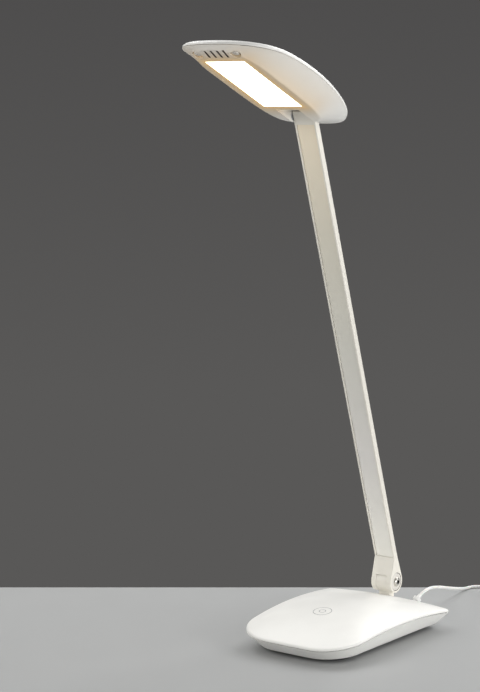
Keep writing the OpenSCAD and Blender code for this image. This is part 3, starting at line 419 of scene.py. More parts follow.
grip_mesh = broken_edges(slab("usb_grip", grip_w, grip_len, grip_t, 1.6), 1.1)
ribs = [moved(slab("rib", grip_w - 4, 0.7, 0.8), 0, y, side * (grip_t / 2 - 0.1))
        for y in rib_ys for side in (-1, 1)]
grip_mesh = carved(grip_mesh, together(*ribs))
collar_mesh = turned("usb_collar", [(0, -0.5), (3, -0.5), (3, 0.4), (2.5, 1.6), (2.1, 3.4),
                                    (1.8, neck_len), (0, neck_len)])
at_usb = Matrix.Translation((tail_x, usb_y, usb_z))
at_grip = at_usb @ Matrix.Translation((0, -neck_len - grip_len / 2, 0))
at_collar = at_usb @ Matrix.Translation((0, -neck_len, 0)) @ plug_turn
grip = join_lamp("usb_grip", finished(grip_mesh, at_grip), plug_vinyl, "base", "lead_white",
                 "usb_plug_body")
collar = join_lamp("usb_collar", finished(collar_mesh, at_collar), plug_vinyl, "base", "lead_white",
                   "usb_plug_body")
usb_shell_mesh = broken_edges(slab("usb_shell", shell_w, shell_len, shell_t), 0.35, 2)
windows = [moved(slab("window", 2.2, 2.4, 1.2), x, -1.2, side * shell_t / 2)
           for x in (-2.6, 2.6) for side in (-1, 1)]
mouth = moved(slab("mouth", shell_w - 2 * shell_wall, shell_len, shell_t - 2 * shell_wall), 0, -1, 0)
usb_shell_mesh = carved(carved(usb_shell_mesh, mouth), together(*windows))
tongue_mesh = moved(slab("usb_tongue", shell_w - 2 * shell_wall, shell_len - 1, 1.8), 0, 0.1, -0.9)
gilt_mesh = together(*[moved(slab("usb_contacts", 1, 6, 0.2), x, -1.6, 0.05)
                       for x in (-3.5, -1.2, 1.2, 3.5)])
at_usb_shell = at_usb @ Matrix.Translation((0, -neck_len - grip_len - shell_len / 2, 0))
usb_shell = join_lamp("usb_shell", finished(usb_shell_mesh, at_usb_shell), nickel, "base",
                      "bolt_steel", "usb_plug_shell")
tongue = join_lamp("usb_tongue", finished(tongue_mesh, at_usb_shell), plug_vinyl, "base",
                   "lead_white", "usb_plug_shell")
gilt = join_lamp("usb_contacts", finished(gilt_mesh, at_usb_shell), metal("gilt", gilt_tone),
                 "base", "brass_plate", "usb_plug_shell")


# ---- Base tray -----------------------------------------------------------------------
# The lower half of the base, moulded in white ABS. Its sides lean in towards the table and
# end above a step in its underside. Its rim rises in the middle of each side and falls to
# the front and back. The step and the faces under it are painted near black, and the lip in
# the seam with the cover dark grey, as painted shade.
front_w = 115.2
mid_w = 123.9
back_w = 131.8
front_corner = 36.5
back_corner = 6
front_sweep = 1
back_sweep = 24.5
rim_front = 13.2
rim_mid = 21.5
rim_back = 13
rim_skew = 0.2
seam = 0.5
base_wall = 2.2
tray_z = 1.5
tray_floor = 3.5
draw_side = 12.9
draw_front = 11.6
draw_back = 6.9
lip = base_wall / 2 - 0.05
lip_h = 1.6
step_h = 2.1
socket_w = 11
socket_h = 6.6
shell_white = (248, 247, 243)
# Painted shade: dark grey for the lip in the seam, near black for the step under the tray.
joint_shade_tone = (104, 100, 96)
underside_shade_tone = (44, 42, 40)


def half_width(y):
    """Half the width of the base at y."""
    s = 2 * y / base_len
    return (mid_w + (back_w - front_w) / 2 * s + ((back_w + front_w) / 2 - mid_w) * s * s) / 2


def rim_height(y):
    """Height of the seam between tray and cover at y."""
    s = 2 * y / base_len
    return (rim_mid + ((rim_back - rim_front) / 2 - rim_skew) * s
            + ((rim_back + rim_front) / 2 - rim_mid) * s * s + rim_skew * s ** 3)


def swept_end(corner, sweep, width, way):
    """One end of the outline, from its middle round the right corner to the side.
    way is -1 for the front and 1 for the back."""
    edge_steps = 18
    corner_steps = 16
    q = math.radians(sweep)
    cy = (base_len / 2 - math.tan(q) * (width / 2 - corner + corner * math.sin(q)) / 2
          - corner * math.cos(q))
    cx = half_width(way * cy) - corner
    xe, ye = cx + corner * math.sin(q), cy + corner * math.cos(q)
    edge = [(x, way * (ye + math.tan(q) / (2 * xe) * (xe * xe - x ** 2)))
            for x in [xe * i / edge_steps for i in range(edge_steps)]]
    turns = [(math.pi / 2 - q) * (1 - i / corner_steps) for i in range(corner_steps + 1)]
    return edge + [(cx + corner * math.cos(a), way * (cy + corner * math.sin(a))) for a in turns]


front_end = swept_end(front_corner, front_sweep, front_w, -1)
back_end = swept_end(back_corner, back_sweep, back_w, 1)
side_from, side_to = front_end[-1][1], back_end[-1][1]
side_steps = 32
side_line = [(half_width(y), y) for y in
             [side_from + (side_to - side_from) * i / side_steps for i in range(1, side_steps)]]
right_half = front_end + side_line + back_end[::-1]
outline = right_half + [(-x, y) for x, y in right_half[::-1] if x > 0.01]


def tray_ring(level, inset=0, lift=0, flat=None):
    """The tray's outline at a level from 0, the bottom, to 1, the rim, drawn in by inset.
    It follows the rim, lifted by lift, or lies flat at a height of its own."""
    ring = []
    for px, py in outline:
        bx = px * (1 - draw_side / (mid_w / 2))
        by = py * (1 - (draw_front if py < 0 else draw_back) / (base_len / 2))
        z = tray_z + (rim_height(py) - seam / 2 - tray_z) * level + lift
        ring.append(((bx + (px - bx) * level) * (1 - inset / (mid_w / 2)),
                     (by + (py - by) * level) * (1 - inset / (base_len / 2)),
                     z if flat is None else flat))
    return ring


def ringed(name, rings, low_tip, high_tip):
    """A closed shell through rings of points, with a fan to a tip at either end."""
    shape = bmesh.new()
    loops = [[shape.verts.new(p) for p in ring] for ring in rings]
    tips = [shape.verts.new(low_tip), shape.verts.new(high_tip)]
    n = len(rings[0])
    for j in range(n):
        k = (j + 1) % n
        shape.faces.new((tips[0], loops[0][j], loops[0][k]))
        shape.faces.new((tips[1], loops[-1][k], loops[-1][j]))
        for low, high in zip(loops, loops[1:]):
            shape.faces.new((low[j], low[k], high[k], high[j]))
    return meshed(name, shape)


def white_abs(name, gloss):
    """Moulded white ABS with a fine satin grain."""
    return mottled(name, shell_white, 0.97, 35, gloss, 2200, 0.012)


def painted_shade_finish(name, tone):
    """A dull dark finish that paints shade on faces deep in a joint or under an edge."""
    return mottled(name, tone, 0.9, 60, (0.6, 0.8), 900, 0.02)


def second_finish(piece, material, faces):
    """Gives some faces of a piece another finish."""
    piece.data.materials.append(material)
    for i in faces:
        piece.data.polygons[i].material_index = len(piece.data.materials) - 1


tray_rings = [tray_ring(0, 9.5, flat=tray_z), tray_ring(0, 8.6, flat=tray_z + 0.05),
              tray_ring(0, 8.4, flat=tray_z + 0.2), tray_ring(0.02, 8.2, flat=tray_z + step_h),
              tray_ring(0.03, 2, flat=tray_z + step_h + 0.05),
              tray_ring(0.06, 1.1, flat=tray_z + step_h + 0.2),
              tray_ring(0.1, 0.5, flat=tray_z + step_h + 0.5), tray_ring(0.2, 0.1)]
tray_rings += [tray_ring(level) for level in (0.3, 0.4, 0.5, 0.65, 0.8, 0.93, 0.985)]
tray_rings += [tray_ring(1, 0.08, -0.08), tray_ring(1, 0.25), tray_ring(1, lip + 0.15),
               tray_ring(1, lip + 0.15, lip_h), tray_ring(1, base_wall, lip_h),
               tray_ring(0.85, base_wall), tray_ring(0.5, base_wall),
               tray_ring(0.14, base_wall + 0.8, flat=tray_floor)]
tray_mesh = ringed("tray_shell", tray_rings, (0, 0, tray_z), (0, 0, tray_floor))
socket_gap = (socket_w + 0.3, 20, socket_h + 0.3)
socket_cutter = moved(slab("socket_gap", *socket_gap), socket_x, socket_face + 1.6, socket_z)
tray_mesh = carved(tray_mesh, socket_cutter)
# The lip faces in the seam get the painted shade of the joint.
shaded_lip_faces = [p.index for p in tray_mesh.polygons
            if p.center.z > rim_height(p.center.y) - seam / 2 + 0.03]
# The step and the faces under it get the painted shade under the tray.
shaded_bottom_faces = [p.index for p in tray_mesh.polygons
               if p.center.z < tray_z + step_h + 0.04]
base_abs = white_abs("base_abs", (0.34, 0.44))
tray = join_lamp("tray_shell", finished(tray_mesh, sharp=40), base_abs, "base", "shell_white",
                 "base_tray")
painted_joint_shade = painted_shade_finish("painted_joint_shade", joint_shade_tone)
second_finish(tray, painted_joint_shade, shaded_lip_faces)
second_finish(tray, painted_shade_finish("underside", underside_shade_tone), shaded_bottom_faces)


# ---- Anti-slip pad -------------------------------------------------------------------
# A sheet of dark rubber with round corners, stuck under the tray. Its surface is matt and
# a little rough, so that the lamp doesn't slide.
rubber_tone = (52, 52, 54)
pad_rubber = mottled("pad_rubber", rubber_tone, 0.7, 150, (0.75, 0.9), 700, 0.15)
refinish(pad_rubber, "base_pad")


# ---- Ballast and screws --------------------------------------------------------------
# A zinc-plated steel plate screwed to the floor of the tray keeps the lamp upright. The
# larger screws and the hinge washers are plated too. The small screws, the pin of the head
# and its nut are bright steel.
zinc_tone = (176, 179, 184)
steel_tone = (196, 197, 200)
zinc = metal("zinc_plate", zinc_tone, 90, (0.35, 0.6), 500, 0.03)
refinish(zinc, "ballast_plate", "cover_screws", "neck_screws", "hinge_washers", "head_washers")
steel = metal("bright_steel", steel_tone)
refinish(steel, "touch_screws", "board_screws", "panel_screws", "head_pin", "head_nut")


# ---- Boards --------------------------------------------------------------------------
# Green circuit boards, with the copper showing through the mask as a paler net: the main
# board on brass pillars, the touch board under the mark, and two strips with the LEDs in
# the head. The parts on them, the socket for the lead and the frame of the light panel are
# black.
mask_green = (26, 92, 58)
brass_tone = (206, 170, 98)
black_tone = (34, 34, 36)


def board_mask():
    """Green solder mask over copper lines."""
    material = mottled("board_mask", mask_green, 0.8, 120, (0.25, 0.35), 900, 0.01)
    nodes, links = material.node_tree.nodes, material.node_tree.links
    lines = with_values(nodes.new("ShaderNodeTexBrick"), {
        "Scale": 90, "Mortar Size": 0.04, "Color1": colour(mask_green),
        "Color2": colour([c * 0.85 for c in mask_green]),
        "Mortar": colour([c * 1.5 for c in mask_green])})
    links.new(nodes["Texture Coordinate"].outputs["Object"], lines.inputs["Vector"])
    links.new(lines.outputs["Color"], nodes["Principled BSDF"].inputs["Base Color"])
    return material


refinish(board_mask(), "main_board", "touch_board", "led_boards")
brass = metal("brass", brass_tone)
refinish(brass, "board_standoffs", "touch_spring")
black_abs = mottled("black_abs", black_tone, 0.8, 120, (0.4, 0.55), 1500, 0.02)
refinish(black_abs, "board_parts", "power_socket", "panel_frame")


# ---- Base cover ----------------------------------------------------------------------
# The upper half of the base in the same white ABS: a shallow dome with a rolled edge,
# cut out for the neck and the power socket.
crown = 12.3
edge_rise = 2.2
hinge_y = back_edge - 20.5
neck_w = 11
neck_d = 8.6
neck_gap = 0.5


def dome(k):
    """Rise of the cover above the rim at the fraction k of the way out from its middle."""
    return edge_rise + (crown - edge_rise) * (1 - k * k)


def cover_ring(k, inset=0, lift=0):
    """The cover's outline drawn in to the fraction k, and rounder the nearer the middle."""
    ring = []
    for px, py in outline:
        oval = math.hypot(2 * px / mid_w, 2 * py / base_len)
        s = k * (k + (1 - k) / oval)
        x = s * px * (1 - inset / (mid_w / 2))
        y = s * py * (1 - inset / (base_len / 2))
        ring.append((x, y, rim_height(y) + seam / 2 + lift))
    return ring


under_steps = [0.14, 0.3, 0.46, 0.6, 0.72, 0.82, 0.9]
rolled = spline_through([Vector(p) for p in ((1, 0.3), (1, 1.1), (0.9965, 1.75), (0.99, 2.25),
                                             (0.98, dome(0.98)), (0.95, dome(0.95)))], 4)
dome_steps = [0.93, 0.9, 0.86, 0.81, 0.76, 0.7, 0.64, 0.58, 0.52, 0.46, 0.4, 0.34, 0.28, 0.22,
              0.16, 0.1, 0.05]
cover_rings = [cover_ring(k, base_wall, dome(k) - base_wall) for k in under_steps]
cover_rings += [cover_ring(1, base_wall, lip_h + 0.15), cover_ring(1, lip, lip_h + 0.15),
                cover_ring(1, lip), cover_ring(1, 0.25), cover_ring(1, 0.08, 0.08)]
cover_rings += [cover_ring(k, 0, rise) for k, rise in rolled]
cover_rings += [cover_ring(k, 0, dome(k)) for k in dome_steps]
cover_mesh = ringed("cover_shell", cover_rings, (0, 0, rim_mid + crown - base_wall),
                    (0, 0, rim_mid + seam / 2 + crown))
neck_cutter = moved(slab("neck_gap", neck_w + 2 * neck_gap, neck_d + 2 * neck_gap, 60, 1.2),
                    0, hinge_y, 40)
cover_mesh = carved(carved(cover_mesh, neck_cutter), socket_cutter)
cover_skin = BVHTree.FromPolygons([v.co.copy() for v in cover_mesh.vertices],
                                  [p.vertices[:] for p in cover_mesh.polygons])
join_lamp("cover_shell", finished(cover_mesh, sharp=40), base_abs, "base", "shell_white",
          "base_cover")


# ---- Touch mark ----------------------------------------------------------------------
# Two thin grey rings printed on the cover over the touch switch, laid on the curve of it.
mark_y = -back_edge + 58.3
mark_r = 8.5
mark_line = 0.5
inner_mark_r = mark_r * 0.38
mark_deep = 0.3
mark_proud = 0.03
ink_tone = (150, 150, 150)
mark_ink = mottled("mark_ink", ink_tone, 0.9, 300, (0.3, 0.4), 2500, 0.01)


def printed_ring(outer, inner, around=72):
    """A ring lying on the cover, just proud of it and let into it."""
    shape = bmesh.new()
    loops = []
    high_above = 80
    for r, lift in ((inner, -mark_deep), (outer, -mark_deep), (outer, mark_proud), (inner, mark_proud)):
        loop = []
        for j in range(around):
            a = 2 * math.pi * j / around
            x, y = r * math.cos(a), mark_y + r * math.sin(a)
            top = cover_skin.ray_cast(Vector((x, y, high_above)), Vector((0, 0, -1)))[0].z
            loop.append(shape.verts.new((x, y, top + lift)))
        loops.append(loop)
    for low, high in zip(loops, loops[1:] + loops[:1]):
        band(shape, low, high)
    return meshed("touch_mark", shape)


mark_mesh = together(printed_ring(mark_r, mark_r - mark_line),
                     printed_ring(inner_mark_r, inner_mark_r - mark_line))
join_lamp("touch_mark", finished(mark_mesh), mark_ink, "base", "touch_print", "touch_rings")


# ---- Neck ----------------------------------------------------------------------------
# A zinc casting painted to match the arm: a foot screwed to the ballast plate, and a post
# that ends in a round eye between the two cheeks of the arm.
ballast_top = 9.5
hinge_z = 36.8
hinge_r = 10.4
neck_eye_r = 10.2
foot_w = 38
foot_d = 18
foot_t = 4
arm_paint_tone = (238, 234, 224)


def extruded(name, outline, x0, x1):
    """A (y, z) outline carried across from x0 to x1."""
    shape = bmesh.new()
    left = [shape.verts.new((x0, y, z)) for y, z in outline]
    right = [shape.verts.new((x1, y, z)) for y, z in outline]
    shape.faces.new(left)
    shape.faces.new(right[::-1])
    for i in range(len(outline)):
        k = (i + 1) % len(outline)
        shape.faces.new((left[i], right[i], right[k], left[k]))
    return meshed(name, shape)


def arc(r, start, end, steps, y=0, z=0):
    """Points on a circle in the (y, z) plane, from one angle to another."""
    return [(y + r * math.cos(a), z + r * math.sin(a)) for a in
            [math.radians(start + (end - start) * i / steps) for i in range(steps + 1)]]


def post_outline():
    """The post and its eye, with a hollow curve on each side where they meet."""
    half = neck_d / 2
    hollow = 4
    reach = math.sqrt((neck_eye_r + hollow) ** 2 - (half + hollow) ** 2)
    meet = math.degrees(math.atan2(-reach, half + hollow))
    right = arc(hollow, 180, 180 + meet, 6, half + hollow, -reach)
    eye = arc(neck_eye_r, meet, 180 - meet, 40)
    left = arc(hollow, -meet, 0, 6, -half - hollow, -reach)
    low = ballast_top - hinge_z
    return [(half, low)] + right + eye[1:-1] + left + [(-half, low)]


arm_paint = mottled("arm_paint", arm_paint_tone, 0.97, 25, (0.3, 0.4), 1100, 0.02)
at_hinge = Matrix.Translation((0, hinge_y, hinge_z))
neck_mesh = broken_edges(extruded("neck_post", post_outline(), -neck_w / 2, neck_w / 2), 0.25)
foot_mesh = broken_edges(moved(slab("neck_foot", foot_w, foot_d, foot_t, 2), 0, hinge_y - 3,
                               ballast_top + foot_t / 2), 0.4, 2)
join_lamp("neck_post", finished(neck_mesh, at_hinge), arm_paint, "base", "arm_white", "neck")
join_lamp("neck_foot", finished(foot_mesh), arm_paint, "base", "arm_white", "neck")


# ---- Clevis --------------------------------------------------------------------------
# The lower end of the arm, a painted casting: two round cheeks on either side of the neck
# that run up into a block as thick as the arm. A washer turns between each cheek and the
# neck, and the slot for the neck is narrower round their seats.
arm_lean = 18.7
arm_w = 21.2
arm_t = 5.6
arm_back = 6.1
arm_front_y = arm_back - arm_t / 2
arm_rear_y = arm_back + arm_t / 2
washer_t = 0.6
cheek_gap = neck_w + 2 * washer_t + 0.1
joint_z = hinge_r * 2.25
washer_room_r = 8.4
cap_d = 16.4
cap_in = 1
cap_slack = 0.4
in_arm = at_hinge @ Matrix.Rotation(math.radians(arm_lean), 4, "X")


def block(name, x0, x1, y0, y1, z0, z1):
    """A plain block between two corners."""
    return moved(slab(name, x1 - x0, y1 - y0, z1 - z0),
                 (x0 + x1) / 2, (y0 + y1) / 2, (z0 + z1) / 2)


def rod(name, x0, x1, r, around=64):
    """A plain round bar along X."""
    bar = turned(name, [(0, 0), (r, 0), (r, x1 - x0), (0, x1 - x0)], around)
    return moved(bar, x0, 0, 0, 90, "Y")


def touching(y, z, side):
    """The angle on the cheek's circle where a line from (y, z) grazes it."""
    return math.degrees(math.atan2(z, y) + side * math.acos(hinge_r / math.hypot(y, z)))


front_graze = touching(arm_front_y, joint_z, 1)
rear_graze = touching(arm_rear_y, joint_z, -1)
cheek_outline = ([(arm_rear_y, joint_z), (arm_front_y, joint_z)]
                 + arc(hinge_r, front_graze, 360 + rear_graze, 56))
half_gap = cheek_gap / 2
gap_r = hinge_r + 0.3
rim_gap = neck_w / 2 + 0.15
front_gap_top = hinge_r - 1.2
rear_gap_top = 6
clevis_mesh = extruded("arm_clevis", cheek_outline, -arm_w / 2, arm_w / 2)
gap_cutter = carved(rod("gap", -half_gap, half_gap, washer_room_r),
                    rod("gap", -rim_gap, rim_gap, gap_r), "UNION")
for y0, y1, top in ((-gap_r - 2, -1, front_gap_top), (0, gap_r + 2, rear_gap_top)):
    gap_cutter = carved(gap_cutter, block("gap", -rim_gap, rim_gap, y0, y1, -gap_r - 2, top), "UNION")
clevis_mesh = carved(clevis_mesh, gap_cutter)
recess_r = cap_d / 2 + cap_slack
cap_cutters = together(*[rod("recess", x0, x1, recess_r) for x0, x1 in
                         ((-arm_w / 2 - 1, -arm_w / 2 + cap_in), (arm_w / 2 - cap_in, arm_w / 2 + 1))])
clevis_mesh = broken_edges(carved(clevis_mesh, cap_cutters), 0.22, 2)


def in_recess(c):
    """True for the centre of a face in the recess of a cheek's cap."""
    deep = arm_w / 2 - cap_in - 0.02 < abs(c.x) < arm_w / 2 - 0.2
    return deep and math.hypot(c.y, c.z) < recess_r + 0.1


# The faces of the recesses round the caps are painted dark grey, as painted shade round each cap.
shaded = [p.index for p in clevis_mesh.polygons if in_recess(p.center)]
clevis = join_lamp("arm_clevis", finished(clevis_mesh, in_arm, 30), arm_paint, "arm", "arm_alu",
                   "clevis")
second_finish(clevis, painted_joint_shade, shaded)


# ---- Hinge bolt and caps -------------------------------------------------------------
# A turned cap with a fine groove is let into the face of each cheek. The nickel-plated
# bolt through them has a button head with a hex socket on the right, and a hex nut on the
# left.
cap_t = 0.8
bolt_r = 2.5
bolt_head_r = 4.4
bolt_head_t = 2.2
hex_r = 1.9
hex_floor = 0.2
nut_r = 4.4
nut_t = 2.2
cap_tone = (226, 222, 215)
# Near black painted shade inside the hex socket.
socket_shade_tone = (16, 15, 15)
seat_x = arm_w / 2 - cap_in + cap_t
cap_paint = mottled("cap_satin", cap_tone, 0.93, 60, (0.24, 0.36), 900, 0.02)


def hex_prism(name, r, t):
    """A six-sided bar on +Z from z 0 to t, with its corners r from the middle."""
    return turned(name, [(0, 0), (r, 0), (r, t), (0, t)], 6)


def washer_of(name, outline, around=64):
    """A closed ring from its (radius, height) outline, which doesn't reach the middle."""
    shape = bmesh.new()
    turns = [2 * math.pi * j / around for j in range(around)]
    loops = [[shape.verts.new((r * math.cos(a), r * math.sin(a), z)) for a in turns]
             for r, z in outline]
    for low, high in zip(loops, loops[1:] + loops[:1]):
        band(shape, low, high)
    return meshed(name, shape)


cap_outline = [(bolt_r, 0), (cap_d / 2, 0), (cap_d / 2, cap_t - 0.25), (cap_d / 2 - 0.25, cap_t),
               (6.6, cap_t), (6.4, cap_t - 0.2), (5.9, cap_t - 0.2), (5.7, cap_t), (bolt_r, cap_t)]
cap_mesh = together(*[moved(washer_of("hinge_caps", cap_outline), side * (arm_w / 2 - cap_in), 0, 0,
                            side * 90, "Y") for side in (1, -1)])
join_lamp("cheek_caps", finished(cap_mesh, in_arm), cap_paint, "arm", "cap_white", "hinge_caps")
bolt_end = -2 * seat_x - 2
bolt_mesh = turned("hinge_button", [(0, bolt_end), (bolt_r, bolt_end), (bolt_r, 0),
                                    (bolt_head_r, 0), (bolt_head_r, 0.7), (bolt_head_r - 0.35, 1.35),
                                    (bolt_head_r - 1, 1.85), (bolt_head_r - 1.7, 2.1),
                                    (2, bolt_head_t), (0, bolt_head_t)])
bolt_mesh = carved(bolt_mesh, moved(hex_prism("socket", hex_r, 3), 0, 0, hex_floor))
# The faces inside the hex socket are painted near black, as painted shade in the hole.
in_socket = [p.index for p in bolt_mesh.polygons if p.center.z > 0.1 and p.normal.z < 0.99
             and math.hypot(p.center.x, p.center.y) < hex_r + 0.05]
button = join_lamp("hinge_button", finished(moved(bolt_mesh, seat_x, 0, 0, 90, "Y"), in_arm, 30),
                   nickel, "arm", "bolt_steel", "hinge_bolt")
second_finish(button, mottled("painted_socket_shade", socket_shade_tone, 0.8, 300, (0.6, 0.8), 900, 0.01), in_socket)
nut_cone = turned("cone", [(0, -1), (nut_r + 0.8, -1), (nut_r + 0.8, nut_t - 0.5),
                           (nut_r - 0.5, nut_t), (0, nut_t)])
nut_mesh = carved(hex_prism("hinge_hex", nut_r, nut_t), nut_cone, "INTERSECT")
nut_mesh = carved(nut_mesh, turned("bore", [(0, -1), (bolt_r, -1), (bolt_r, 4), (0, 4)]))
join_lamp("hinge_hex", finished(moved(nut_mesh, -seat_x, 0, 0, -90, "Y"), in_arm, 30), nickel,
          "arm", "bolt_steel", "hinge_nut")


# ---- Arm channel ---------------------------------------------------------------------
# A drawn aluminium channel in satin white paint, open to the front, with its edges just
# broken. Its two rails stand a little past the strip that closes it, and end above it.
rail_w = 1.5
web_t = 1.2
arm_len = 454.6
strip_top = arm_len - 7.5
rail_top = strip_top + 5
inner_w = arm_w - 2 * rail_w
web_y = arm_rear_y - web_t
arm_screw_xs = (-7.5, 7.5)
arm_screw_zs = (joint_z + 8, strip_top - 8)


def drawn(name, outline, z0, z1):
    """An (x, y) section carried up from z0 to z1."""
    side = extruded(name, [(y, z) for y, z in outline], z0, z1)
    side.transform(Matrix(((0, 1, 0, 0), (0, 0, 1, 0), (1, 0, 0, 0), (0, 0, 0, 1))))
    return side


def at_arm_screws(piece, y):
    """Copies of a small piece at the four screws in the back of the arm, at the depth y."""
    return together(*[moved(piece.copy(), x, y, z, -90) for x in arm_screw_xs for z in arm_screw_zs])


half_arm = arm_w / 2
half_in = inner_w / 2
section = [(-half_arm, arm_front_y), (-half_in, arm_front_y), (-half_in, web_y), (half_in, web_y),
           (half_in, arm_front_y), (half_arm, arm_front_y), (half_arm, arm_rear_y),
           (-half_arm, arm_rear_y)]
channel_mesh = drawn("channel", section, joint_z + 0.05, rail_top)
channel_mesh = carved(channel_mesh, block("top", -half_in, half_in, arm_front_y - 1, arm_rear_y + 1,
                                          strip_top, rail_top + 1))
sink = turned("sink", [(0, -1.2), (1.9, -1.2), (1.9, 0.5), (0, 0.5)])
channel_mesh = broken_edges(carved(channel_mesh, at_arm_screws(sink, arm_rear_y)), 0.3, 3)
join_lamp("channel", finished(channel_mesh, in_arm, 30), arm_paint, "arm", "arm_alu",
          "arm_channel")


# ---- Front strip ---------------------------------------------------------------------
# A flat strip of cream plastic that slides in between the rails and closes the channel. Light
# and shade are painted into its colour: a little darker in the middle, and warmer towards the
# top where the head's warm light falls.
strip_t = 1
strip_in = 0.8
strip_play = 0.3
strip_white = (255, 255, 255)
strip_low = 60
strip_high = 460
# Painted light and shade along the strip, from its foot to its top.
strip_light_tones = [(248, 246, 238), (236, 233, 229), (230, 228, 219), (232, 227, 212), (248, 236, 214)]


def painted_light_by_height(material, low_z, high_z, tones):
    """Paints light and shade into a finish by its height at rest, evenly from the first tone at
    low_z to the last at high_z."""
    nodes, links = material.node_tree.nodes, material.node_tree.links
    parts = nodes.new("ShaderNodeSeparateXYZ")
    links.new(nodes["Texture Coordinate"].outputs["Object"], parts.inputs["Vector"])
    height = with_values(nodes.new("ShaderNodeMapRange"), {"From Min": low_z * mm,
                                                           "From Max": high_z * mm})
    links.new(parts.outputs["Z"], height.inputs["Value"])
    shades = nodes.new("ShaderNodeValToRGB")
    stops = shades.color_ramp.elements
    while len(stops) < len(tones):
        stops.new(0.5)
    for i, tone in enumerate(tones):
        stops[i].position = i / (len(tones) - 1)
        stops[i].color = colour(tone)
    links.new(height.outputs["Result"], shades.inputs["Fac"])
    both = nodes.new("ShaderNodeMix")
    both.data_type = "RGBA"
    both.blend_type = "MULTIPLY"
    both.inputs[0].default_value = 1
    links.new(shades.outputs["Color"], both.inputs[6])
    links.new(nodes["Color Ramp"].outputs["Color"], both.inputs[7])
    links.new(both.outputs[2], nodes["Principled BSDF"].inputs["Base Color"])
    return material


strip_plastic = painted_light_by_height(mottled("strip_plastic", strip_white, 0.97, 20, (0.34, 0.46), 1100, 0.02),
                     strip_low, strip_high, strip_light_tones)
strip_mesh = block("front_strip", -half_in + strip_play, half_in - strip_play,
                   arm_front_y + strip_in, arm_front_y + strip_in + strip_t,
                   joint_z + strip_play / 2, strip_top - strip_play / 2)
join_lamp("front_strip", finished(broken_edges(strip_mesh, 0.15, 2), in_arm, 30), strip_plastic, "arm",
          "strip_cream", "arm_strip")


# ---- Arm screws and wires ------------------------------------------------------------
# Four small cross-head screws in the back of the channel fix it to the clevis and the
# knuckle. The wires in the channel have a dull red cover.
wire_tone = (150, 60, 48)


def cross_screw(name, head_r, head_t, shank_r, shank_len, bite):
    """A pan-head screw on +Z with its seat at z 0 and a cross cut in its head."""
    screw = turned(name, [(0, -shank_len), (shank_r * 0.5, -shank_len), (shank_r, -shank_len + 1),
                          (shank_r, 0), (head_r, 0), (head_r, head_t * 0.45),
                          (head_r * 0.9, head_t * 0.8), (head_r * 0.6, head_t), (0, head_t)], 32)
    wing = head_r * 1.1
    cross = carved(moved(slab("cross", wing, wing * 0.22, bite * 2), 0, 0, head_t),
                   moved(slab("cross", wing * 0.22, wing, bite * 2), 0, 0, head_t), "UNION")
    return carved(screw, cross)


arm_screw_mesh = at_arm_screws(cross_screw("channel_screws", 1.8, 0.6, 0.9, 2, 0.4), arm_rear_y - 0.75)
join_lamp("channel_screws", finished(arm_screw_mesh, in_arm, 30), steel, "arm", "screw_steel",
          "arm_screws")
wire_cover = mottled("wire_cover", wire_tone, 0.85, 200, (0.35, 0.5), 1500, 0.02)
refinish(wire_cover, "arm_wires")


# ---- Knuckle -------------------------------------------------------------------------
# A painted casting that plugs into the top of the channel. Its round eye turns on the
# head's pin.
knuckle_r = 5
pin_r = 2
flare = math.degrees(math.acos((arm_t / 2) / knuckle_r))
knuckle_outline = ([(arm_rear_y, strip_top), (arm_rear_y, arm_len - knuckle_r - 1)]
                   + arc(knuckle_r, -flare + 8, 180 - flare, 32, arm_back, arm_len)
                   + [(arm_front_y, strip_top)])
knuckle_mesh = extruded("knuckle_eye", knuckle_outline, -half_arm, half_arm)
rail_room = together(*[block("rail", x0, x1, arm_front_y - 4, arm_rear_y + 4,
                             strip_top - 1, rail_top + 0.05)
                       for x0, x1 in ((-half_arm - 1, -half_in + 0.05), (half_in - 0.05, half_arm + 1))])
knuckle_mesh = broken_edges(carved(knuckle_mesh, rail_room), 0.3, 2)
join_lamp("knuckle_eye", finished(knuckle_mesh, in_arm, 30), arm_paint, "arm", "arm_alu", "knuckle")


# ---- Head, lower shell ---------------------------------------------------------------
# The underside of the head in white ABS: a flat face with the window, the cooling slots
# and the screw wells, and flanks that sweep up to the seam. Its barrels hold the pin. The
# warm light of the window is painted into the shell round it as a glow and a tan tint, and the
# lip of the seam, the seat of the right screw well and sheets in the slots are painted dark as shade.
head_tilt = 23.3
head_half_w = 45.6
head_fwd = 149.4
head_aft = 19.7
head_wide = 99.7
round_front = 2.35
round_back = 4.4
face = -6.3
seam_tip = 2.6
seam_wide = 13.8
seam_back = 7.5
head_skirt = 3.1
head_crown = 3
face_in_side = 17.3
face_in_tip = 4.5
face_in_back = 20
flank_power = 0.85
head_wall = 1.8
fore = head_fwd - head_wide
rear = head_wide + head_aft
seam_curve = ((seam_tip - seam_wide) / fore + (seam_back - seam_wide) / rear) / (fore + rear)
seam_slope = (seam_back - seam_wide) / rear - seam_curve * rear
in_head = (in_arm @ Matrix.Translation((0, arm_back, arm_len))
           @ Matrix.Rotation(math.radians(-arm_lean - head_tilt), 4, "X"))


def head_seam(v):
    """Height of the seam at the distance v behind the widest point."""
    return face + seam_wide + seam_slope * v + seam_curve * v * v


head_outline = []
outline_points = 144
for i in range(outline_points):
    a = math.radians(360 / outline_points * i)
    c = math.cos(a)
    power = round_front if c > 0 else round_back
    d = (abs(c) ** power + abs(math.sin(a)) ** power) ** (1 / power)
    head_outline.append((head_half_w * math.sin(a) / d, -(fore if c > 0 else rear) * c / d))


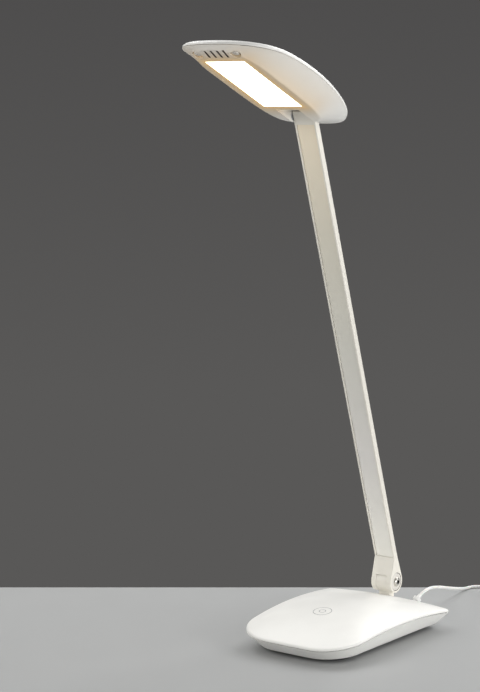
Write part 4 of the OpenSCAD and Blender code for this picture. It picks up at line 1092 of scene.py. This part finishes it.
def flank_ring(level, inset=0, lift=0):
    """The lower shell's outline from level 0, the edge of its face, to 1, the seam."""
    ring = []
    for px, py in head_outline:
        reach = fore if py < 0 else rear
        bx = px * (1 - face_in_side / head_half_w)
        by = py * (1 - (face_in_tip if py < 0 else face_in_back) / reach)
        rise = head_seam(py) - seam / 2 - face
        ring.append(((bx + (px - bx) * level) * (1 - inset / head_half_w),
                     (by + (py - by) * level) * (1 - inset / reach) - head_wide,
                     face + rise * level ** flank_power + lift))
    return ring


def inner_flank_ring(part):
    """The inside of the flank, from part 0 at the floor to 1 at the height of the seam."""
    ring = []
    for px, py in head_outline:
        bx = px * (1 - face_in_side / head_half_w)
        by = py * (1 - (face_in_tip / fore if py < 0 else face_in_back / rear))
        rise = head_seam(py) - seam / 2 - face
        thick = 1.5 + 0.09 * rise
        level = part * (1 - thick / rise) ** (1 / flank_power)
        wall = head_wall + (thick - head_wall) * part
        ring.append((bx + (px - bx) * level, by + (py - by) * level - head_wide,
                     face + wall + rise * level ** flank_power))
    return ring


def flat_ring(ring, z):
    """The ring laid flat at the height z."""
    return [(x, y, z) for x, y, _ in ring]


land_in = head_wall + 0.15
flank_rings = [flank_ring(0, 1.6), flank_ring(0, 0.7, 0.03)]
flank_rings += [flank_ring(level) for level in (0.015, 0.05, 0.1, 0.2, 0.3, 0.4, 0.5, 0.6, 0.7, 0.8,
                                                0.88, 0.95, 0.99)]
flank_rings += [flank_ring(1, 0.06, -0.05), flank_ring(1, 0.25), flank_ring(1, land_in),
                flank_ring(1, land_in, 1), flank_ring(1, land_in + 0.8, 1)]
flank_rings += [inner_flank_ring(part) for part in (1, 0.75, 0.5, 0.25, 0)]
head_top = face + seam_wide + seam / 2 + head_skirt + head_crown
lower_mesh = ringed("lower_shell", flank_rings, (0, -head_wide, face),
                    (0, -head_wide, face + head_wall))

window_w = 38.5
window_len = 89.3
window_rear = -33.3
window_front = window_rear - window_len
slot_half = half_arm + 0.7
slot_front = window_rear + 6
slot_rear = 10
slot_wall = 1.4
slot_top = 4.9
ramp_end = -knuckle_r - 1
ramp_top = 2
barrel_r = 4.4
barrel_end = 17.4
barrel_top = 3.4
well_x = 18.5
well_y = window_front - 11.7
well_r = 4.7
well_seat = face + 2.8


def upright(name, x, y, z0, z1, r, around=40):
    """A plain round bar standing at (x, y)."""
    return moved(turned(name, [(0, z0), (r, z0), (r, z1), (0, z1)], around), x, y, 0)


inside = ringed("inside", [flank_ring(0, 0, 0.8), flank_ring(0.35, 0, 0.8), flank_ring(0.7, 0, 0.8),
                           flank_ring(1, 0.5, 0.8), flat_ring(flank_ring(1, 0.5), head_top)],
                (0, -head_wide, face + 0.8), (0, -head_wide, head_top))
added = []
for side in (-1, 1):
    added.append(upright("boss", side * well_x, well_y, face, well_seat + 1.4, well_r + 1.1))
    x0, x1 = sorted((side * (slot_half - 0.2), side * (slot_half + slot_wall)))
    added.append(block("wall", x0, x1, slot_front - 2, 0, face, slot_top))
    added.append(block("wall", x0, x1, -1, slot_rear, face, barrel_top))
    x0, x1 = sorted((side * (slot_half - 0.2), side * barrel_end))
    added.append(carved(rod("barrel", x0, x1, barrel_r),
                        block("barrel", x0, x1, -barrel_r, barrel_r, face, 0), "UNION"))
added.append(block("wall", -slot_half - 1, slot_half + 1, slot_rear - 0.2, slot_rear + slot_wall,
                   face, 3.9))
ramp_outline = [(slot_front, face), (ramp_end, ramp_top), (ramp_end, ramp_top + slot_wall),
                (slot_front - 2 * slot_wall, face + 1)]
added.append(extruded("ramp", ramp_outline, -slot_half - 1, slot_half + 1))
for piece in added:
    lower_mesh = carved(lower_mesh, carved(piece, inside, "INTERSECT"), "UNION")
recess = extruded("recess", [(slot_front, face - 10), (slot_front, face), (ramp_end, ramp_top),
                             (ramp_end, 20), (slot_rear, 20), (slot_rear, face - 10)],
                  -slot_half, slot_half)
wells = [upright("well", side * well_x, well_y, face - 3, well_seat, well_r) for side in (-1, 1)]
vent_w = 2.1
vent_len = 13.4
vent_slant = 13
vent_xs = (-7.5, -1.5, 4.5, 10.5)
vent_y = window_front - 7 - vent_len / 2
vents = [moved(slab("vent", vent_w, vent_len, 12, vent_w / 2 - 0.01), x, vent_y, face, vent_slant, "Z")
         for x in vent_xs]
window = moved(slab("window", window_w, window_len, 14, 0.6), 0, window_front + window_len / 2, face)
pockets = [rod("pocket", x, x + 3, pin_r + 1.3) for x in (-barrel_end - 3, barrel_end)]
lower_mesh = carved(carved(lower_mesh, together(*wells, *vents, window, *pockets)), recess)
# Painted light round the window: a warm glow and a tan tint that fade with the distance from its edge.
painted_glow_tone = (255, 208, 132)
spill_reach = 45
spill_strength = 0.24
faint_strength = 0.03
spill_power = 9
painted_warm_tone = (216, 184, 134)
painted_warm_power = 2.6
lip_from = 20
# Painted shade for the lip of the seam and the seat of the right well.
seam_shade_tone = (92, 80, 72)
# Painted shade for the cooling slots.
slot_shade_tone = (58, 38, 26)


def map_face(mesh):
    """Gives the mesh a flat map of the head's face, in mm from the middle of the window."""
    flat = mesh.uv_layers.new(name="face_plan")
    for loop in mesh.loops:
        at = mesh.vertices[loop.vertex_index].co
        flat.data[loop.index].uv = (at.x, at.y - (window_rear + window_front) / 2)


def painted_window_light(material):
    """A painted glow and a painted tan tint round the window, for the warm light that leaks from its
    edge into the shell round it.
    """
    nodes, links = material.node_tree.nodes, material.node_tree.links

    def worked(operation, *values):
        """What a sum makes of numbers and of other nodes' results."""
        step = nodes.new("ShaderNodeMath")
        step.operation = operation
        for socket, value in zip(step.inputs, values):
            if isinstance(value, bpy.types.NodeSocket):
                links.new(value, socket)
            else:
                socket.default_value = value
        return step.outputs["Value"]

    plan = nodes.new("ShaderNodeUVMap")
    plan.uv_map = "face_plan"
    parts = nodes.new("ShaderNodeSeparateXYZ")
    links.new(plan.outputs["UV"], parts.inputs["Vector"])
    sides = []
    for axis, half in (("X", window_w / 2), ("Y", window_len / 2)):
        past = worked("SUBTRACT", worked("ABSOLUTE", parts.outputs[axis]), half)
        sides.append(worked("POWER", worked("MAXIMUM", past, 0), 2))
    left = with_values(nodes.new("ShaderNodeMapRange"), {"From Max": spill_reach,
                                                         "To Min": 1, "To Max": 0})
    links.new(worked("SQRT", worked("ADD", *sides)), left.inputs["Value"])
    near = left.outputs["Result"]
    faint = worked("MULTIPLY", near, faint_strength)
    fade = worked("MULTIPLY_ADD", worked("POWER", near, spill_power), spill_strength, faint)
    shader = nodes["Principled BSDF"]
    shader.inputs["Emission Color"].default_value = colour(painted_glow_tone)
    links.new(fade, shader.inputs["Emission Strength"])
    tint = nodes.new("ShaderNodeMix")
    tint.data_type = "RGBA"
    tint.inputs[7].default_value = colour(painted_warm_tone)
    links.new(worked("POWER", near, painted_warm_power), tint.inputs[0])
    links.new(nodes["Color Ramp"].outputs["Color"], tint.inputs[6])
    links.new(tint.outputs[2], shader.inputs["Base Color"])


def in_painted_shade(c):
    """True for the centre of a face painted dark as shade: on the lip of the seam, clear of the
    barrels, or on the seat of the screw well on the right."""
    in_well = math.hypot(c.x - well_x, c.y - well_y) < well_r and abs(c.z - well_seat) < 0.02
    on_lip = abs(c.x) > lip_from and c.z > head_seam(c.y + head_wide) - seam / 2 + 0.03
    return in_well or on_lip


painted_glow_abs = white_abs("painted_glow_abs", (0.32, 0.42))
painted_window_light(painted_glow_abs)
map_face(lower_mesh)
painted_shade_faces = [p.index for p in lower_mesh.polygons if in_painted_shade(p.center)]
lower_shell = join_lamp("lower_shell", finished(lower_mesh, in_head, 32), painted_glow_abs, "head",
                        "shell_white", "head_lower_shell")
second_finish(lower_shell, painted_shade_finish("painted_seam_shade", seam_shade_tone), painted_shade_faces)
# Dark brown sheets just inside the cooling slots stand for the shade in them: painted shade.
slot_shade = mottled("vent_shade_sheet", slot_shade_tone, 0.6, 900, (0.8, 0.95), 2600, 0.1)
slot_shade_mesh = together(*[moved(slab("vent_shade_sheet", vent_w - 0.1, vent_len - 0.1, 1), x, vent_y,
                              face + 0.65, vent_slant, "Z") for x in vent_xs])
join_lamp("vent_shade_sheet", finished(slot_shade_mesh, in_head), slot_shade, "head", "black_plastic",
          "head_lower_shell")


# ---- Light panel ---------------------------------------------------------------------
# An opal acrylic sheet fills the window from behind and glows in an even warm white. The
# light guide, reflector, LEDs and heat plate are stacked on it inside the head.
glow_tone = (255, 246, 224)
opal_strength = 4
led_strength = 2
opal_white = (250, 248, 240)
guide_tone = (232, 238, 240)
film_tone = (245, 245, 245)
resin_tone = (255, 236, 170)
heat_tone = (190, 192, 196)
pane_play = 0.15


def glowing(material, strength):
    """The finish with the lamp's warm white light coming out of it."""
    return tuned(material, {"Emission Color": colour(glow_tone), "Emission Strength": strength})


lit_opal = glowing(mottled("lit_opal", opal_white, 0.98, 40, (0.3, 0.4), 900, 0.01), opal_strength)
pane_mesh = together(
    block("opal_pane", -window_w / 2 + pane_play, window_w / 2 - pane_play,
          window_front + pane_play, window_rear - pane_play, face + 0.1, face + 1.05),
    block("opal_rim", -window_w / 2 - 1, window_w / 2 + 1, window_front - 1, window_rear + 1,
          face + 1.05, face + 2.2))
join_lamp("opal_pane", finished(broken_edges(pane_mesh, 0.1, 2), in_head), lit_opal, "head",
          "diffuser_lit", "diffuser")
guide_acrylic = mottled("guide_acrylic", guide_tone, 0.96, 60, (0.08, 0.14), 400, 0.01)
refinish(tuned(guide_acrylic, {"Transmission Weight": 0.8}), "light_guide")
refinish(mottled("reflector_film", film_tone, 0.97, 60, (0.5, 0.6), 600, 0.01), "reflector")
led_resin = mottled("led_resin", resin_tone, 0.9, 400, (0.25, 0.35), 900, 0.01)
refinish(glowing(led_resin, led_strength), "leds")
refinish(metal("heat_sheet", heat_tone, 70, (0.35, 0.5), 350, 0.05), "heat_plate")


# ---- Head, upper shell ---------------------------------------------------------------
# The back of the head in the same ABS: a thin upright rim above the seam that rolls over
# into a low dome. Two screws in the wells of the lower shell hold it.
screw_white = (232, 226, 216)


def upper_ring(k, inset=0, lift=0):
    """The outline drawn in to the fraction k, at a height above the seam."""
    ring = []
    for px, py in head_outline:
        x = k * px * (1 - inset / head_half_w)
        y = k * py * (1 - inset / (fore if py < 0 else rear))
        ring.append((x, y - head_wide, head_seam(y) + seam / 2 + lift))
    return ring


def head_dome(k):
    """Rise of the upper shell above the seam at the fraction k of the way out."""
    return head_skirt + head_crown * (1 - k ** 2.2)


upper_rolled = spline_through([Vector(p) for p in ((1, 0.3), (1, 1.38), (0.99, 2.12),
                                                   (0.96, head_dome(0.96)), (0.9, head_dome(0.9)))], 4)
upper_rings = [upper_ring(k, head_wall, head_dome(k) - head_wall)
               for k in (0.14, 0.3, 0.46, 0.6, 0.72, 0.82, 0.9, 0.96)]
upper_rings += [upper_ring(1, head_wall, head_skirt - 1), upper_ring(1, head_wall),
                upper_ring(1, 0.25), upper_ring(1, 0.08, 0.08)]
upper_rings += [upper_ring(k, 0, rise) for k, rise in upper_rolled]
upper_rings += [upper_ring(k, 0, head_dome(k)) for k in dome_steps]
upper_mesh = ringed("upper_shell", upper_rings, (0, -head_wide, head_top - head_wall),
                    (0, -head_wide, head_top))
join_lamp("upper_shell", finished(upper_mesh, in_head, 40), white_abs("head_abs", (0.32, 0.42)), "head",
          "shell_white", "head_upper_shell")
well_screws = [moved(cross_screw("well_screws", 3.3, 1.9, 1.2, 8, 0.8),
                     side * well_x, well_y, well_seat, 180) for side in (-1, 1)]
white_screw = mottled("white_screw", screw_white, 0.93, 200, (0.3, 0.45), 900, 0.01)
join_lamp("well_screws", finished(together(*well_screws), in_head, 30), white_screw, "head",
          "screw_steel", "head_screws")


# ---- Table and room ------------------------------------------------------------------
# The lamp stands near the back edge of a pale grey slab in front of a dark grey wall. The
# edge runs through edge_point. Soft lights stand round the lamp and above it.
edge_point = Vector((16, 226.1, 0))
table_deep = 1700
table_wide = 3200
table_thick = 30
wall_low = (89, 88, 87)
wall_high = (76, 75, 75)
wall_from = -0.15
wall_to = 0.1
table_tone = (172, 173, 173)
room_tone = (250, 250, 252)
room_strength = 0.22
table_top = slab("table", table_wide, table_deep, table_thick, 2, 3)
turn = math.radians(view_turn)
middle = edge_point + Vector((math.sin(turn), -math.cos(turn), 0)) * table_deep / 2
table_top.transform(Matrix.Translation(middle - Vector((0, 0, table_thick / 2)))
                    @ Matrix.Rotation(turn, 4, "Z"))
table = bpy.data.objects.new("table", finished(broken_edges(table_top, 1.5)))
bpy.context.collection.objects.link(table)
table.data.materials.append(mottled("table_grey", table_tone, 0.97, 30, (0.6, 0.75), 500, 0.05))

room = bpy.data.worlds.new("room")
bpy.context.scene.world = room
room.use_nodes = True
nodes, links = room.node_tree.nodes, room.node_tree.links
soft = with_values(nodes["Background"], {"Color": colour(room_tone), "Strength": room_strength})
seen = nodes.new("ShaderNodeBackground")
way = nodes.new("ShaderNodeTexCoord")
split = nodes.new("ShaderNodeSeparateXYZ")
links.new(way.outputs["Generated"], split.inputs["Vector"])
height = with_values(nodes.new("ShaderNodeMapRange"), {"From Min": wall_from, "From Max": wall_to})
links.new(split.outputs["Z"], height.inputs["Value"])
wall = nodes.new("ShaderNodeValToRGB")
wall.color_ramp.elements[0].color = colour(wall_low)
wall.color_ramp.elements[1].color = colour(wall_high)
links.new(height.outputs["Result"], wall.inputs["Fac"])
links.new(wall.outputs["Color"], seen.inputs["Color"])
rays = nodes.new("ShaderNodeLightPath")
sees_wall = nodes.new("ShaderNodeMath")
sees_wall.operation = "MAXIMUM"
links.new(rays.outputs["Is Camera Ray"], sees_wall.inputs[0])
links.new(rays.outputs["Is Transmission Ray"], sees_wall.inputs[1])
pick = nodes.new("ShaderNodeMixShader")
links.new(sees_wall.outputs["Value"], pick.inputs["Fac"])
links.new(soft.outputs["Background"], pick.inputs[1])
links.new(seen.outputs["Background"], pick.inputs[2])
links.new(pick.outputs["Shader"], nodes["World Output"].inputs["Surface"])


light_white = (255, 255, 254)
light_cream = (255, 254, 250)
light_aim = Vector((0, 0, 150))


def softbox(name, place, size, watts, tone=light_white):
    """A square soft light at a place, turned to light_aim in the middle of the lamp."""
    light = bpy.data.lights.new(name, "AREA")
    light.shape = "SQUARE"
    light.size = size * mm
    light.energy = watts
    light.color = colour(tone)[:3]
    box = bpy.data.objects.new(name, light)
    bpy.context.collection.objects.link(box)
    box.location = Vector(place) * mm
    box.rotation_euler = (light_aim - Vector(place)).to_track_quat("-Z", "Y").to_euler()


softbox("top_left", (-900, 300, 1500), 1100, 10.8)
softbox("top_back", (0, 1300, 1300), 1000, 14.2)
softbox("right", (1500, -100, 300), 560, 9.2)
softbox("front_right", (1400, -1100, 480), 900, 3.6)
softbox("left_front", (-1100, -1200, 760), 1100, 10.8, light_cream)
softbox("back_right", (1200, 1000, 700), 1000, 7.2)
